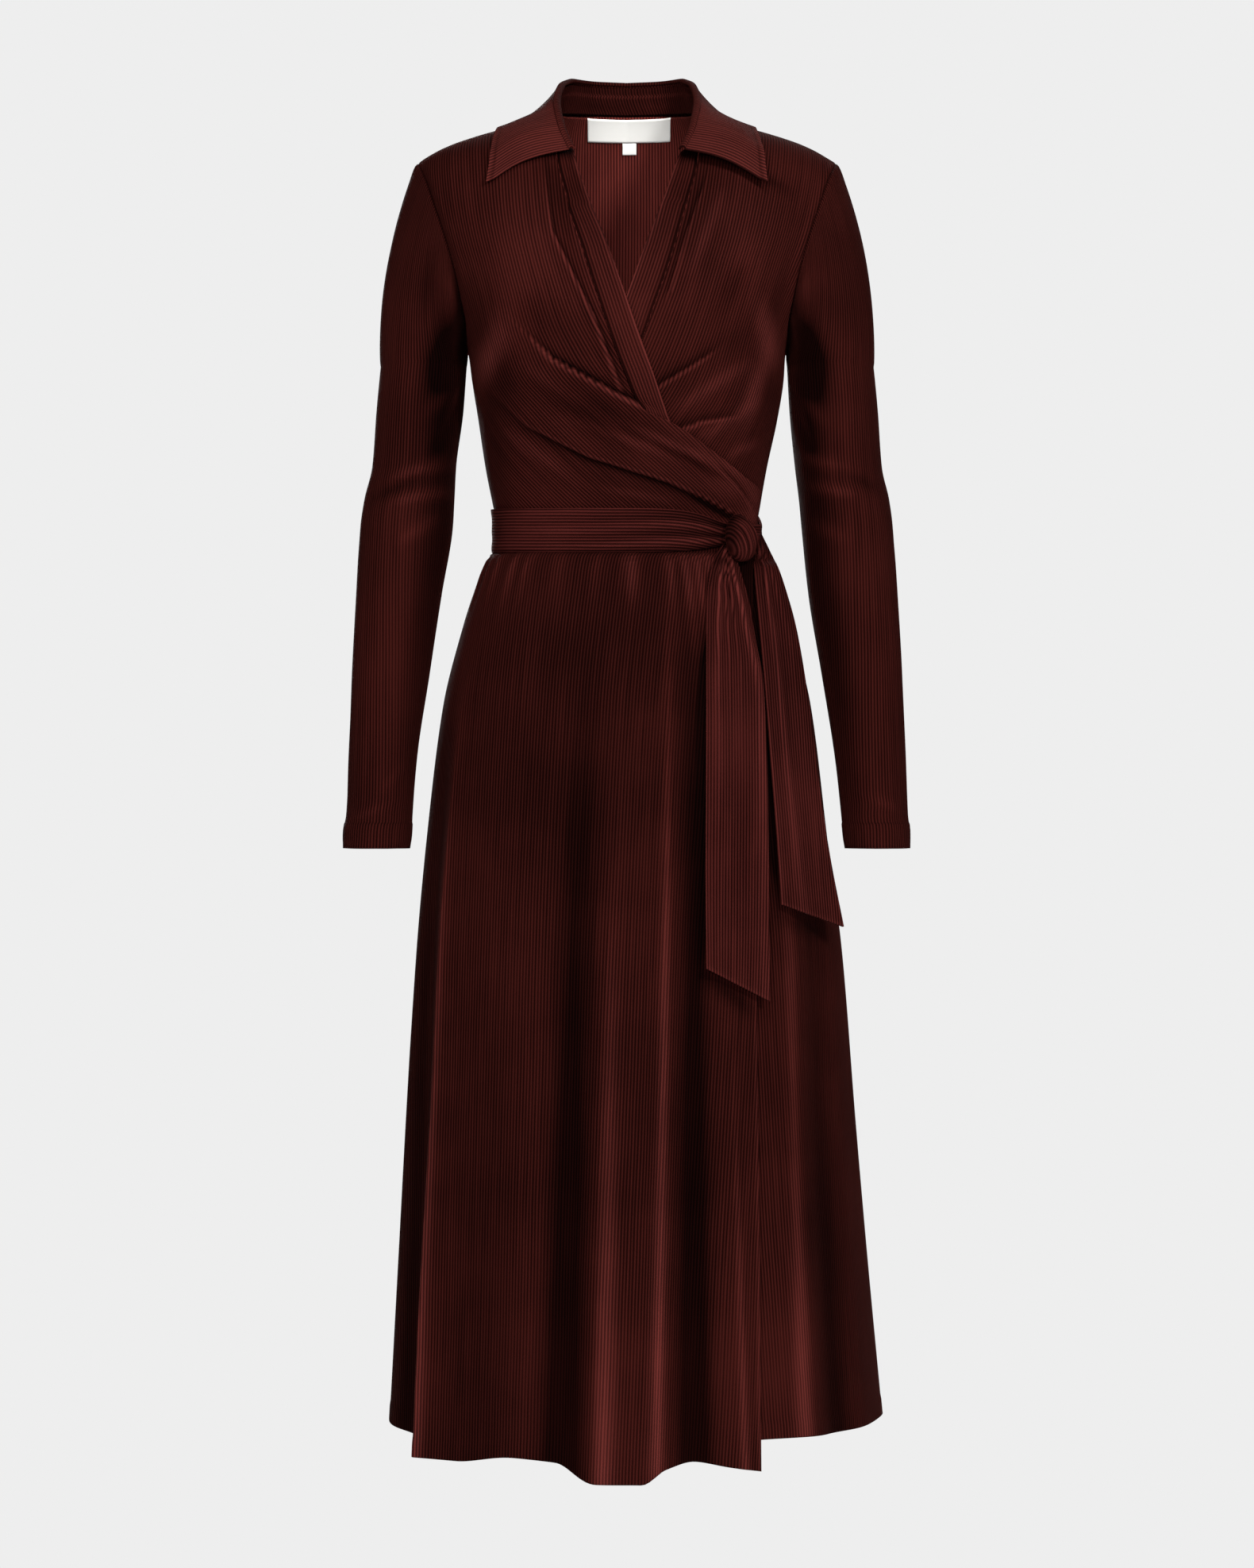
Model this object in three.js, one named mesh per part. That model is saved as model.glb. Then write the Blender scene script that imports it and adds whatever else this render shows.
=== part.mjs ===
// A long-sleeved wrap dress in fine-ribbed velvet, filled out as if worn, with its own tie belt.
// Millimetres, +Z up. The front faces -Y. The origin is the middle of the neck at shoulder height.
// Every panel is a thin wall through rows of points that are worked out from the tables below.
import * as THREE from "three";

// Driving dimensions
const SEAM_GAP = 0.3;
const WALL = { bodice: 1.6, skirt: 1.6, sleeve: 1.6, band: 2.4, collar: 2.0, belt: 2.4, label: 0.5 };
const LAYER = 2.6; // how far the over layer stands outside the base form, and the under layer inside it
const WAIST_Z = -358;
const BODICE_BREAK_Z = -130; // below it the front is upright, above it the front slopes to the shoulder
const ARMPIT = { x: 138.6, z: -203 };
const SHOULDER_TIP = { x: 184, z: -33.6 };
const NECK_SIDE = { x: 62, z: 9 };
const SECTION_POWER = 2.3; // 2 is an ellipse, more is squarer
const BACK_ROOF_POWER = 2.2;
// Roundness of the front's slope to the shoulder, at the neck and at the arm, and where it changes
const FRONT_ROOF = { neck: 1.2, arm: 2.2, from: 50, over: 100 };

// Sections of the body form: half widths of the wearer's right and left, depths of front and back
const SECTIONS = [
  { z: -1200, right: 213, left: 222, front: 194, back: 164 },
  { z: -1130, right: 208.6, left: 216.5, front: 188, back: 158 },
  { z: -1008, right: 201.6, left: 206.5, front: 178, back: 152 },
  { z: -868, right: 193.2, left: 196, front: 163, back: 148 },
  { z: -728, right: 184.8, left: 187, front: 142, back: 140 },
  { z: -623, right: 175, left: 175, front: 131, back: 130 },
  { z: -511, right: 161, left: 161, front: 118, back: 118 },
  { z: -441, right: 143.5, left: 143.5, front: 106, back: 104 },
  { z: -408, right: 133, left: 133, front: 100, back: 95 },
  { z: -391, right: 126.5, left: 126.5, front: 94.5, back: 89 },
  { z: -385, right: 118.5, left: 118.5, front: 86.5, back: 81.5 },
  { z: -379, right: 115.5, left: 115.5, front: 85.5, back: 78.5 },
  { z: -347, right: 114.8, left: 114.8, front: 85, back: 78 },
  { z: -334, right: 117.4, left: 116.7, front: 88, back: 80 },
  { z: -301, right: 123.9, left: 122.5, front: 96, back: 86 },
  { z: -259, right: 130.2, left: 131.6, front: 112, back: 95 },
  { z: -224, right: 135.8, left: 137.2, front: 121, back: 102 },
  { z: -203, right: 138.6, left: 138.6, front: 124, back: 105 },
  { z: -175, right: 147.3, left: 147.3, front: 125.5, back: 108 },
  { z: -150, right: 157.5, left: 157.5, front: 122, back: 109 },
  { z: -122, right: 170, left: 170, front: 115, back: 110 },
  { z: -94.5, right: 179, left: 179, front: 112, back: 110 },
  { z: -63, right: 188, left: 188, front: 112, back: 110 },
  { z: -34, right: 195, left: 195, front: 112, back: 110 },
  { z: 60, right: 205, left: 205, front: 112, back: 110 },
];

// Height of the shoulder seam at each distance from the middle
const SHOULDER_LINE = [
  { x: 0, z: 35 }, { x: 30, z: 30 }, { x: 50, z: 18 }, { x: 62, z: 9 }, { x: 80, z: 4 },
  { x: 110, z: -3.5 }, { x: 133, z: -10.5 }, { x: 161, z: -21 }, { x: 184, z: -33.6 }, { x: 260, z: -80 },
];

// The armhole seam, seen from the front
const ARMHOLE = [
  { z: -203, x: 138.6 }, { z: -198, x: 139.2 }, { z: -181, x: 140 }, { z: -154, x: 145 },
  { z: -131, x: 150 },
  { z: -103, x: 158 }, { z: -70, x: 169 }, { z: -50, x: 176 }, { z: -33.6, x: 184 },
];

// The back neckline, from the middle to the side of the neck
const BACK_NECK = [
  { x: 0, z: 18 }, { x: 25, z: 17.5 }, { x: 45, z: 15 }, { x: 55, z: 12.5 }, { x: 62, z: 9 },
];

// Free boundary of each front, from the waist up to the side of the neck. v is the row's share of the height.
const OVER_EDGE = [
  { v: 0, x: 109, z: -358 }, { v: 0.07, x: 114, z: -325 }, { v: 0.13, x: 100, z: -313 },
  { v: 0.22, x: 75, z: -294 },
  { v: 0.3, x: 54, z: -279 }, { v: 0.37, x: 36, z: -268 }, { v: 0.42, x: 12, z: -257 },
  { v: 0.5, x: -3, z: -228 },
  { v: 0.62, x: -23, z: -172 }, { v: 0.72, x: -37, z: -129 }, { v: 0.84, x: -54, z: -73 },
  { v: 0.91, x: -61, z: -41 },
  { v: 0.95, x: -63, z: -20 }, { v: 1, x: -62, z: 9 },
];
const UNDER_EDGE = [
  { v: 0, x: -70, z: -358 }, { v: 0.14, x: -58, z: -322 }, { v: 0.3, x: -36, z: -282 },
  { v: 0.45, x: -8, z: -240 },
  { v: 0.56, x: 12, z: -205 }, { v: 0.63, x: 21, z: -180 }, { v: 0.73, x: 36, z: -136 },
  { v: 0.84, x: 52, z: -78 },
  { v: 0.91, x: 61, z: -41 }, { v: 0.95, x: 63, z: -20 }, { v: 1, x: 62, z: 9 },
];
// Free edge of each turned band, by the same shares of height as the edge that it is sewn to
const OVER_BAND_FREE = [
  { v: 0.42, x: 34, z: -264 }, { v: 0.5, x: 19, z: -222 }, { v: 0.62, x: -1, z: -166 },
  { v: 0.72, x: -16, z: -124 },
  { v: 0.84, x: -33, z: -77 }, { v: 0.91, x: -43, z: -45 }, { v: 0.96, x: -46, z: -28 },
  { v: 1, x: -47, z: -16 },
];
const UNDER_BAND_FREE = [
  { v: 0.42, x: -30, z: -238 }, { v: 0.56, x: -10, z: -190 }, { v: 0.63, x: -1, z: -166 },
  { v: 0.73, x: 14, z: -124 },
  { v: 0.84, x: 32, z: -74 }, { v: 0.91, x: 42, z: -44 }, { v: 0.96, x: 47, z: -28 },
  { v: 1, x: 49, z: -16 },
];

// Pleats of the bodice: each is a soft step along a line, deepest at the end named last
const OVER_PLEATS = [
  { path: [[-78, -200], [-34, -232], [0, -250], [38, -266]], height: 5.5, below: 30, above: 9 },
  {
    path: [[-114, -238], [-84, -272], [-34, -298], [34, -320], [80, -338]],
    height: 3.5, below: 20, above: 10,
  },
  { path: [[-73, -38], [-63, -109], [-28, -181], [-5, -241]], height: 2.5, below: 9, above: 14 },
  { path: [[60, -296], [84, -316], [104, -334]], height: 2.5, below: 12, above: 9 },
];
const UNDER_PLEATS = [
  { path: [[71, -42], [51, -106], [36, -160]], height: 2.5, below: 12, above: 9 },
  { path: [[80, -206], [59, -221], [28, -240]], height: 2.8, below: 20, above: 9 },
  { path: [[100, -262], [67, -268], [46, -276]], height: 2.5, below: 14, above: 9 },
];

// Folds of the skirt: angle from the middle of the front, at the waist and at the hem, in degrees. A power
// below 2 makes the fold's crest sharper.
const SKIRT_FOLDS = [
  { waist: -60, hem: -52, start: -480, height: 10, spread: 4.6, power: 1.3 },
  { waist: -70, hem: -65, start: -540, height: -15, spread: 7, power: 2 },
  { waist: -30, hem: -33, start: -700, height: -4, spread: 13, power: 2 },
  { waist: -8, hem: -12.5, start: -470, height: -11, spread: 5.5, power: 2 },
  { waist: 0, hem: -4, start: -640, height: 7, spread: 6, power: 2 },
  { waist: 14, hem: 4.5, start: -400, height: 10, spread: 3.2, power: 1.3 },
  { waist: 20.5, hem: 12.3, start: -410, height: -12, spread: 4.2, power: 2 },
  { waist: 28, hem: 23, start: -800, height: 5, spread: 2.6, power: 1.5 },
  { waist: 56, hem: 40, start: -470, height: 7, spread: 9, power: 2 },
  { waist: 66, hem: 57, start: -620, height: -8, spread: 8, power: 2 },
  { waist: 96, hem: 92, start: -650, height: 8, spread: 10, power: 2 },
  { waist: 120, hem: 114, start: -560, height: -9, spread: 9, power: 2 },
  { waist: 142, hem: 137, start: -480, height: 10, spread: 8, power: 1.6 },
  { waist: 165, hem: 161, start: -560, height: -9, spread: 9, power: 2 },
  { waist: 188, hem: 185, start: -430, height: 10, spread: 9, power: 1.6 },
  { waist: 209, hem: 208, start: -560, height: -9, spread: 8, power: 2 },
  { waist: 230, hem: 233, start: -500, height: 9, spread: 8, power: 1.6 },
  { waist: 254, hem: 260, start: -640, height: -7, spread: 10, power: 2 },
];
const FOLD_GROWTH = 0.7;
const FOLD_END_Z = -1150;
// Where the over front covers the under one: how far round the lowest height is sought, and how it fades
const COVER = { steps: 3, step: 2.6, fade: 9 };
// Gathers let into the waist seam: they fade out below the belt
const GATHERS = [
  { angle: -74, height: 2.2, length: 60 }, { angle: -62, height: 1.8, length: 46 },
  { angle: -50, height: 1.4, length: 38 },
  { angle: 1, height: 1.8, length: 70 }, { angle: 20, height: 2.2, length: 85 },
  { angle: 30, height: 1.8, length: 60 },
  { angle: 130, height: 1.6, length: 60 }, { angle: 160, height: 1.8, length: 70 },
  { angle: 205, height: 1.8, length: 66 },
  { angle: 232, height: 1.6, length: 55 },
];
const GATHER_SPREAD = 4.5;
// The gathers rise between these two heights, under the belt
const GATHER_START = { from: -376, to: -392 };
// Shares of the skirt's length at its rows: close together where it swells out below the belt
const SKIRT_ROWS = [0, 0.02, 0.032, 0.046, 0.075, 0.125, 0.2, 0.3, 0.42, 0.55, 0.7, 0.85, 1];
const SKIRT_BOTTOM_Z = -1146;

// Height of the hem round the skirt, by angle from the middle of the front
const HEM_LINE = [
  { angle: -180, z: -1146 }, { angle: -90, z: -1134 }, { angle: -62, z: -1140 }, { angle: -54, z: -1150 },
  { angle: -40, z: -1149 }, { angle: -24, z: -1142 }, { angle: -14, z: -1145 }, { angle: -5, z: -1161 },
  { angle: 2, z: -1161 }, { angle: 6, z: -1149 }, { angle: 12, z: -1144 }, { angle: 20, z: -1149 },
  { angle: 31, z: -1156 },
];
const UNDER_HEM_LINE = [
  { angle: -24, z: -1130 }, { angle: 30, z: -1128 }, { angle: 60, z: -1132 }, { angle: 90, z: -1134 },
  { angle: 180, z: -1146 },
];
const OVER_SKIRT_EDGE = [
  { z: -358, x: 108.5 }, { z: -385, x: 106 }, { z: -860, x: 109 }, { z: -1160, x: 110 },
];
const UNDER_SKIRT_EDGE = [{ z: -358, x: -70 }, { z: -1160, x: -84 }];

// Sleeves below the armpit, as distances from the middle line
const RIGHT_SLEEVE = [
  { z: -212, outer: 216, inner: 142.2, depth: 53, middle: 1 },
  { z: -250, outer: 219.5, inner: 144.8, depth: 52, middle: -1 },
  { z: -301, outer: 223.8, inner: 151.6, depth: 50, middle: -4 },
  { z: -329, outer: 230.6, inner: 153, depth: 48, middle: -6 },
  { z: -353, outer: 234, inner: 154.3, depth: 47, middle: -8 },
  { z: -412, outer: 237, inner: 163.8, depth: 44, middle: -13 },
  { z: -483, outer: 239.8, inner: 173.8, depth: 39, middle: -22 },
  { z: -553, outer: 241.9, inner: 183.6, depth: 36, middle: -33 },
  { z: -605, outer: 243.4, inner: 187.6, depth: 35, middle: -42 },
  { z: -622, outer: 245.6, inner: 188.4, depth: 35, middle: -45 },
  { z: -635, outer: 245.7, inner: 189.8, depth: 35, middle: -47 },
];
const LEFT_SLEEVE = [
  { z: -212, outer: 216.4, inner: 141.8, depth: 53, middle: 1 },
  { z: -250, outer: 219.8, inner: 143.8, depth: 52, middle: -1 },
  { z: -301, outer: 223.4, inner: 148.6, depth: 50, middle: -4 },
  { z: -329, outer: 229.6, inner: 151.9, depth: 48, middle: -6 },
  { z: -353, outer: 232.8, inner: 154, depth: 47, middle: -8 },
  { z: -412, outer: 236.6, inner: 159.8, depth: 44, middle: -13 },
  { z: -483, outer: 240.5, inner: 171.7, depth: 39, middle: -22 },
  { z: -553, outer: 241.9, inner: 181.6, depth: 36, middle: -33 },
  { z: -605, outer: 243.4, inner: 187.4, depth: 35, middle: -42 },
  { z: -622, outer: 245, inner: 189.1, depth: 35, middle: -45 },
  { z: -635, outer: 245, inner: 190.5, depth: 35, middle: -47 },
];
const SLEEVE_HEAD = { bulge: 10, seamClearance: 1.0, armpitClearance: 2.2, share: 0.3 };

// Collar, half of it from the middle of the back (share 0) to its front end (share 1)
const COLLAR_SEAM = [
  { share: 0, x: 0, y: 57.5, z: 19.2 }, { share: 0.18, x: 27, y: 51.5, z: 19 },
  { share: 0.34, x: 48.5, y: 32, z: 16.2 },
  { share: 0.5, x: 60.6, y: 6, z: 11.2 }, { share: 0.68, x: 60.8, y: -26, z: -6 },
  { share: 0.86, x: 57, y: -53, z: -28 },
  { share: 1, x: 47, y: -55.5, z: -30 },
];
const COLLAR_FOLD = [
  { share: 0, x: 0, y: 62, z: 50 }, { share: 0.18, x: 29, y: 56, z: 49.5 },
  { share: 0.34, x: 50, y: 36, z: 47 },
  { share: 0.5, x: 59, y: 10, z: 41 }, { share: 0.68, x: 61.5, y: -18, z: 20 },
  { share: 0.86, x: 57, y: -46, z: -8 },
  { share: 1, x: 48, y: -61, z: -30 },
];
const COLLAR_EDGE = [
  { share: 0, x: 0, y: 84, z: -4 }, { share: 0.18, x: 42, y: 79, z: -6 },
  { share: 0.34, x: 82, y: 58, z: -7 },
  { share: 0.5, x: 107, y: 22, z: 0.8 }, { share: 0.68, x: 113, y: -26, z: -3.5 },
  { share: 0.86, x: 118, y: -66, z: -32 },
  { share: 1, x: 121, y: -87, z: -62 },
];
const COLLAR_ROLL = 5;
const FALL_SLACK = 0.3;
// The stand ends short of the collar's fronts, of the seam and of the fold
const STAND = { reach: 0.9, bottom: 0.04, top: 0.92 };
const BAND = { seamClearance: 1.1, tuckClearance: 1.4, lift: 0.8 };

// Belt: height and bulk round the waist, by angle from the middle of the front
const BELT = {
  middleZ: -356.5, frontDrop: 5, halfHeight: 18.8, knotHalfHeight: 9, knotDrop: 4, knotAngle: 48, pinch: 20,
  // Past the knot it stays narrow up to the first angle and is wide again at the second
  widens: [34, 66],
  // Between these angles it comes down from the over front onto the under front
  stepsDown: [84, 104],
  slack: 0.7, fullness: 1.1,
};
const KNOT = {
  x: 86, z: -368, width: 34, height: 44, depth: 26, grooves: 3, grooveDepth: 0.09, twist: 1.4, slack: 0.9,
};

// Belt tails: edges seen from the front, and how far each stands off the skirt
const FRONT_TAIL = [
  { v: 0, xl: 84, xr: 103, zl: -391.5, zr: -391.5, off: 10 },
  { v: 0.08, xl: 75, xr: 110, zl: -420, zr: -424, off: 11 },
  { v: 0.2, xl: 70, xr: 114, zl: -465, zr: -468, off: 8 },
  { v: 0.35, xl: 68, xr: 118, zl: -520, zr: -524, off: 9 },
  { v: 0.55, xl: 67, xr: 119.5, zl: -588, zr: -596, off: 10 },
  { v: 0.75, xl: 66.5, xr: 120, zl: -655, zr: -670, off: 11 },
  { v: 1, xl: 67, xr: 120.5, zl: -735, zr: -763, off: 12 },
];
const SIDE_TAIL = [
  { v: 0, xl: 105, xr: 118, zl: -388, zr: -380, off: 15, turn: 6 },
  { v: 0.1, xl: 117, xr: 135, zl: -412, zr: -408, off: 7, turn: 12 },
  { v: 0.25, xl: 121, xr: 146, zl: -455, zr: -450, off: 5, turn: 20 },
  { v: 0.45, xl: 124, xr: 158, zl: -520, zr: -520, off: 6, turn: 27 },
  { v: 0.65, xl: 126.5, xr: 166, zl: -580, zr: -586, off: 7, turn: 32 },
  { v: 0.82, xl: 129, xr: 175, zl: -632, zr: -645, off: 8, turn: 34 },
  { v: 1, xl: 131, xr: 186, zl: -682, zr: -702, off: 9, turn: 36 },
];
const TAIL_RIPPLES = { count: 2.5, height: 3.5, fade: 0.45 };

const NECK_LABEL = { x: 1, width: 74, top: 14.5, bottom: -5.5, inset: 2.9 };
const SIZE_TAB = { x: 1, width: 12, top: -5.9, bottom: -17, inset: 2.6 };

// Grid of each piece: cells across and along. The rows of a bodice panel are those below the armpit,
// and above it the same number as half the columns of a sleeve, so that the armhole's points agree.
const ARMHOLE_ROWS = 12;
const ARMPIT_SHARE = 0.42;
const GRID = {
  overFront: { across: 26, below: 14 }, underFront: { across: 16, below: 9 },
  backBodice: { across: 18, below: 7 },
  sleeve: [2 * ARMHOLE_ROWS, 15], backSkirt: 22, overSkirt: 36, underSkirt: 18,
  band: [2, 11], stand: [18, 2], fall: [24, 4], belt: [36, 2], frontTail: [6, 14], sideTail: [4, 12],
  knot: [16, 10], label: [4, 1],
};

const clamp = (value, low, high) => Math.min(high, Math.max(low, value));
const mix = (a, b, t) => a + (b - a) * t;
const radians = THREE.MathUtils.degToRad;

function smooth(low, high, value) {
  const t = clamp((value - low) / (high - low), 0, 1);
  return t * t * (3 - 2 * t);
}

// Cubic curve through one column of a table, by the slopes between its rows
function curve(rows, key, column) {
  const sorted = [...rows].sort((a, b) => a[key] - b[key]);
  const at = sorted.map((row) => row[key]);
  const value = sorted.map((row) => row[column]);
  const slope = at.map((_, i) => {
    if (i === 0 || i === at.length - 1) return 0;
    const before = (value[i] - value[i - 1]) / (at[i] - at[i - 1]);
    const after = (value[i + 1] - value[i]) / (at[i + 1] - at[i]);
    return before * after <= 0 ? 0 : (2 * before * after) / (before + after);
  });
  slope[0] = (value[1] - value[0]) / (at[1] - at[0]);
  slope[at.length - 1] = (value.at(-1) - value.at(-2)) / (at.at(-1) - at.at(-2));
  return (input) => {
    const where = clamp(input, at[0], at.at(-1));
    let i = 0;
    while (i < at.length - 2 && where > at[i + 1]) i += 1;
    const step = at[i + 1] - at[i];
    const t = (where - at[i]) / step;
    const t2 = t * t;
    const t3 = t2 * t;
    return value[i] * (2 * t3 - 3 * t2 + 1) + value[i + 1] * (3 * t2 - 2 * t3)
      + slope[i] * step * (t3 - 2 * t2 + t) + slope[i + 1] * step * (t3 - t2);
  };
}

const sectionRight = curve(SECTIONS, "z", "right");
const sectionLeft = curve(SECTIONS, "z", "left");
const sectionFront = curve(SECTIONS, "z", "front");
const sectionBack = curve(SECTIONS, "z", "back");
const shoulderCurve = curve(SHOULDER_LINE, "x", "z");
const armholeX = curve(ARMHOLE, "z", "x");
const backNeckZ = curve(BACK_NECK, "x", "z");

const shoulderZ = (x) => shoulderCurve(Math.abs(x));
const halfWidth = (x, z) => (x < 0 ? sectionRight(z) : sectionLeft(z));
// The front slopes almost straight near the neck and rounds over towards the arm
function roofPower(x, isBack) {
  const outward = clamp((Math.abs(x) - FRONT_ROOF.from) / FRONT_ROOF.over, 0, 1);
  return isBack ? BACK_ROOF_POWER : mix(FRONT_ROOF.neck, FRONT_ROOF.arm, outward);
}

// A point of the body form is named by its angle round the body and its level:
// levels 0 to 1 climb from the waist to the break, 1 to 2 from there over to the shoulder seam.
function levelOf(x, z, isBack) {
  if (z <= BODICE_BREAK_Z) return (z - WAIST_Z) / (BODICE_BREAK_Z - WAIST_Z);
  const rise = clamp((z - BODICE_BREAK_Z) / (shoulderZ(x) - BODICE_BREAK_Z), 0, 1);
  return 1 + Math.asin(rise ** (roofPower(x, isBack) / 2)) / (Math.PI / 2);
}

function angleOf(x, z) {
  const share = clamp(Math.abs(x) / halfWidth(x, z), 0, 1);
  return Math.sign(x) * Math.asin(share ** (SECTION_POWER / 2));
}

// Point of the form from angle (0 at the middle, turning to +X) and level, for the front or the back
function bodicePoint(angle, level, isBack) {
  const share = Math.sign(angle) * Math.abs(Math.sin(angle)) ** (2 / SECTION_POWER);
  const round = Math.abs(Math.cos(angle)) ** (2 / SECTION_POWER);
  let x = share * 150;
  let z = WAIST_Z;
  let taper = 1;
  for (let pass = 0; pass < 8; pass += 1) {
    if (level <= 1) {
      z = mix(WAIST_Z, BODICE_BREAK_Z, level);
    } else {
      const power = roofPower(x, isBack);
      const lean = (level - 1) * (Math.PI / 2);
      z = mix(BODICE_BREAK_Z, shoulderZ(x), Math.sin(lean) ** (2 / power));
      taper = Math.max(0, Math.cos(lean)) ** (2 / power);
    }
    x = share * halfWidth(share, z);
  }
  const depth = (isBack ? sectionBack(z) : -sectionFront(z)) * round * taper;
  return new THREE.Vector3(x, depth, z);
}

// Point of the skirt form, from the angle round the whole body
function skirtPoint(angle, z) {
  const sine = Math.sin(angle);
  const cosine = Math.cos(angle);
  const x = Math.sign(sine) * Math.abs(sine) ** (2 / SECTION_POWER) * halfWidth(sine, z);
  const depth = cosine > 0 ? -sectionFront(z) : sectionBack(z);
  return new THREE.Vector3(x, depth * Math.abs(cosine) ** (2 / SECTION_POWER), z);
}

// Depth of the plain form at x and z, used by what hangs or lies on it
function formDepth(x, z, isBack) {
  if (z < WAIST_Z) {
    const angle = angleOf(x, z);
    return skirtPoint(isBack ? Math.PI - angle : angle, z).y;
  }
  return bodicePoint(angleOf(x, z), levelOf(x, z, isBack), isBack).y;
}

// Signed distance from a point of the front view to a pleat line, and the share of the line reached
function pleatPlace(path, x, z) {
  let best = { gap: Infinity, signed: 0, share: 0 };
  for (let i = 0; i < path.length - 1; i += 1) {
    const [ax, az] = path[i];
    const [bx, bz] = path[i + 1];
    const length = Math.hypot(bx - ax, bz - az);
    const along = clamp(((x - ax) * (bx - ax) + (z - az) * (bz - az)) / length ** 2, 0, 1);
    const gap = Math.hypot(x - mix(ax, bx, along), z - mix(az, bz, along));
    if (gap < best.gap) {
      const side = Math.sign((bx - ax) * (z - az) - (bz - az) * (x - ax)) * Math.sign(bx - ax);
      best = { gap, signed: -side * gap, share: (i + along) / (path.length - 1) };
    }
  }
  return best;
}

// A pleat rises just below its line and falls away under it, with a shallow trough above
function pleatHeight(pleats, x, z) {
  let height = 0;
  for (const pleat of pleats) {
    const place = pleatPlace(pleat.path, x, z);
    const strength = pleat.height * smooth(-0.1, 0.75, place.share);
    const reach = place.signed > 0 ? pleat.below : pleat.above;
    const rise = place.signed > 0 ? 1 : -0.25;
    height += strength * rise * Math.exp(-((place.gap / reach) ** 2)) * smooth(-0.5, 3, place.gap);
  }
  return height * smooth(BELT.middleZ + 12, BELT.middleZ + 34, z);
}

function angleGap(a, b) {
  return ((((a - b) % 360) + 540) % 360) - 180;
}

function skirtFoldHeight(angle, z) {
  const degrees = THREE.MathUtils.radToDeg(angle);
  let height = 0;
  for (const fold of SKIRT_FOLDS) {
    const down = clamp((z - WAIST_Z) / (FOLD_END_Z - WAIST_Z), 0, 1);
    const middle = mix(fold.waist, fold.hem, Math.sqrt(down));
    const growth = clamp((fold.start - z) / (fold.start - FOLD_END_Z), 0, 1) ** FOLD_GROWTH;
    const away = Math.abs(angleGap(degrees, middle)) / fold.spread;
    height += fold.height * growth * Math.exp(-(away ** fold.power));
  }
  for (const gather of GATHERS) {
    const risen = smooth(GATHER_START.from, GATHER_START.to, z);
    const fade = risen * (1 - smooth(0, gather.length, GATHER_START.to - z));
    height += gather.height * fade * Math.exp(-((angleGap(degrees, gather.angle) / GATHER_SPREAD) ** 2));
  }
  return height;
}

const overLayer = (angle) => LAYER * smooth(radians(-88), radians(-58), angle);
const underLayer = (angle) => -LAYER * (1 - smooth(radians(58), radians(88), angle));

// Turns a grid of points into a closed wall of one thickness. rows[j][i] is a Vector3.
function wallGeometry(rows, thickness, { ring = false } = {}) {
  const down = rows.length;
  const across = rows[0].length;
  const normals = rows.map((row, j) => row.map((_, i) => {
    const left = ring ? row[(i + across - 1) % across] : row[Math.max(0, i - 1)];
    const right = ring ? row[(i + 1) % across] : row[Math.min(across - 1, i + 1)];
    const over = rows[Math.max(0, j - 1)][i];
    const under = rows[Math.min(down - 1, j + 1)][i];
    return right.clone().sub(left).cross(under.clone().sub(over)).normalize();
  }));
  const positions = [];
  const shell = [0.5, -0.5].map((side) => rows.map((row, j) => row.map((point, i) => {
    const moved = point.clone().addScaledVector(normals[j][i], side * thickness);
    positions.push(moved.x, moved.y, moved.z);
    return positions.length / 3 - 1;
  })));
  const faces = [];
  const quad = (a, b, c, d) => faces.push(a, b, c, a, c, d);
  const spans = ring ? across : across - 1;
  for (let j = 0; j < down - 1; j += 1) {
    for (let i = 0; i < spans; i += 1) {
      const n = (i + 1) % across;
      quad(shell[0][j][i], shell[0][j + 1][i], shell[0][j + 1][n], shell[0][j][n]);
      quad(shell[1][j][i], shell[1][j][n], shell[1][j + 1][n], shell[1][j + 1][i]);
    }
  }
  for (let i = 0; i < spans; i += 1) {
    const n = (i + 1) % across;
    quad(shell[0][0][i], shell[0][0][n], shell[1][0][n], shell[1][0][i]);
    quad(shell[0][down - 1][i], shell[1][down - 1][i], shell[1][down - 1][n], shell[0][down - 1][n]);
  }
  if (!ring) {
    for (let j = 0; j < down - 1; j += 1) {
      quad(shell[0][j][0], shell[1][j][0], shell[1][j + 1][0], shell[0][j + 1][0]);
      const e = across - 1;
      quad(shell[0][j][e], shell[0][j + 1][e], shell[1][j + 1][e], shell[1][j][e]);
    }
  }
  return closedGeometry(positions, faces);
}

// Builds the geometry and turns every face outwards, by the sign of the enclosed volume
function closedGeometry(positions, faces) {
  let volume = 0;
  const corner = (index) => new THREE.Vector3().fromArray(positions, index * 3);
  for (let i = 0; i < faces.length; i += 3) {
    volume += corner(faces[i]).dot(corner(faces[i + 1]).cross(corner(faces[i + 2])));
  }
  if (volume < 0) {
    for (let i = 0; i < faces.length; i += 3) [faces[i + 1], faces[i + 2]] = [faces[i + 2], faces[i + 1]];
  }
  const geometry = new THREE.BufferGeometry();
  geometry.setAttribute("position", new THREE.Float32BufferAttribute(positions, 3));
  geometry.setIndex(faces);
  geometry.computeVertexNormals();
  return geometry;
}

function gridRows([across, along], point, { ring = false } = {}) {
  const rows = [];
  for (let j = 0; j <= along; j += 1) {
    const row = [];
    for (let i = 0; i < (ring ? across : across + 1); i += 1) row.push(point(i / across, j / along));
    rows.push(row);
  }
  return rows;
}

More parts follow.
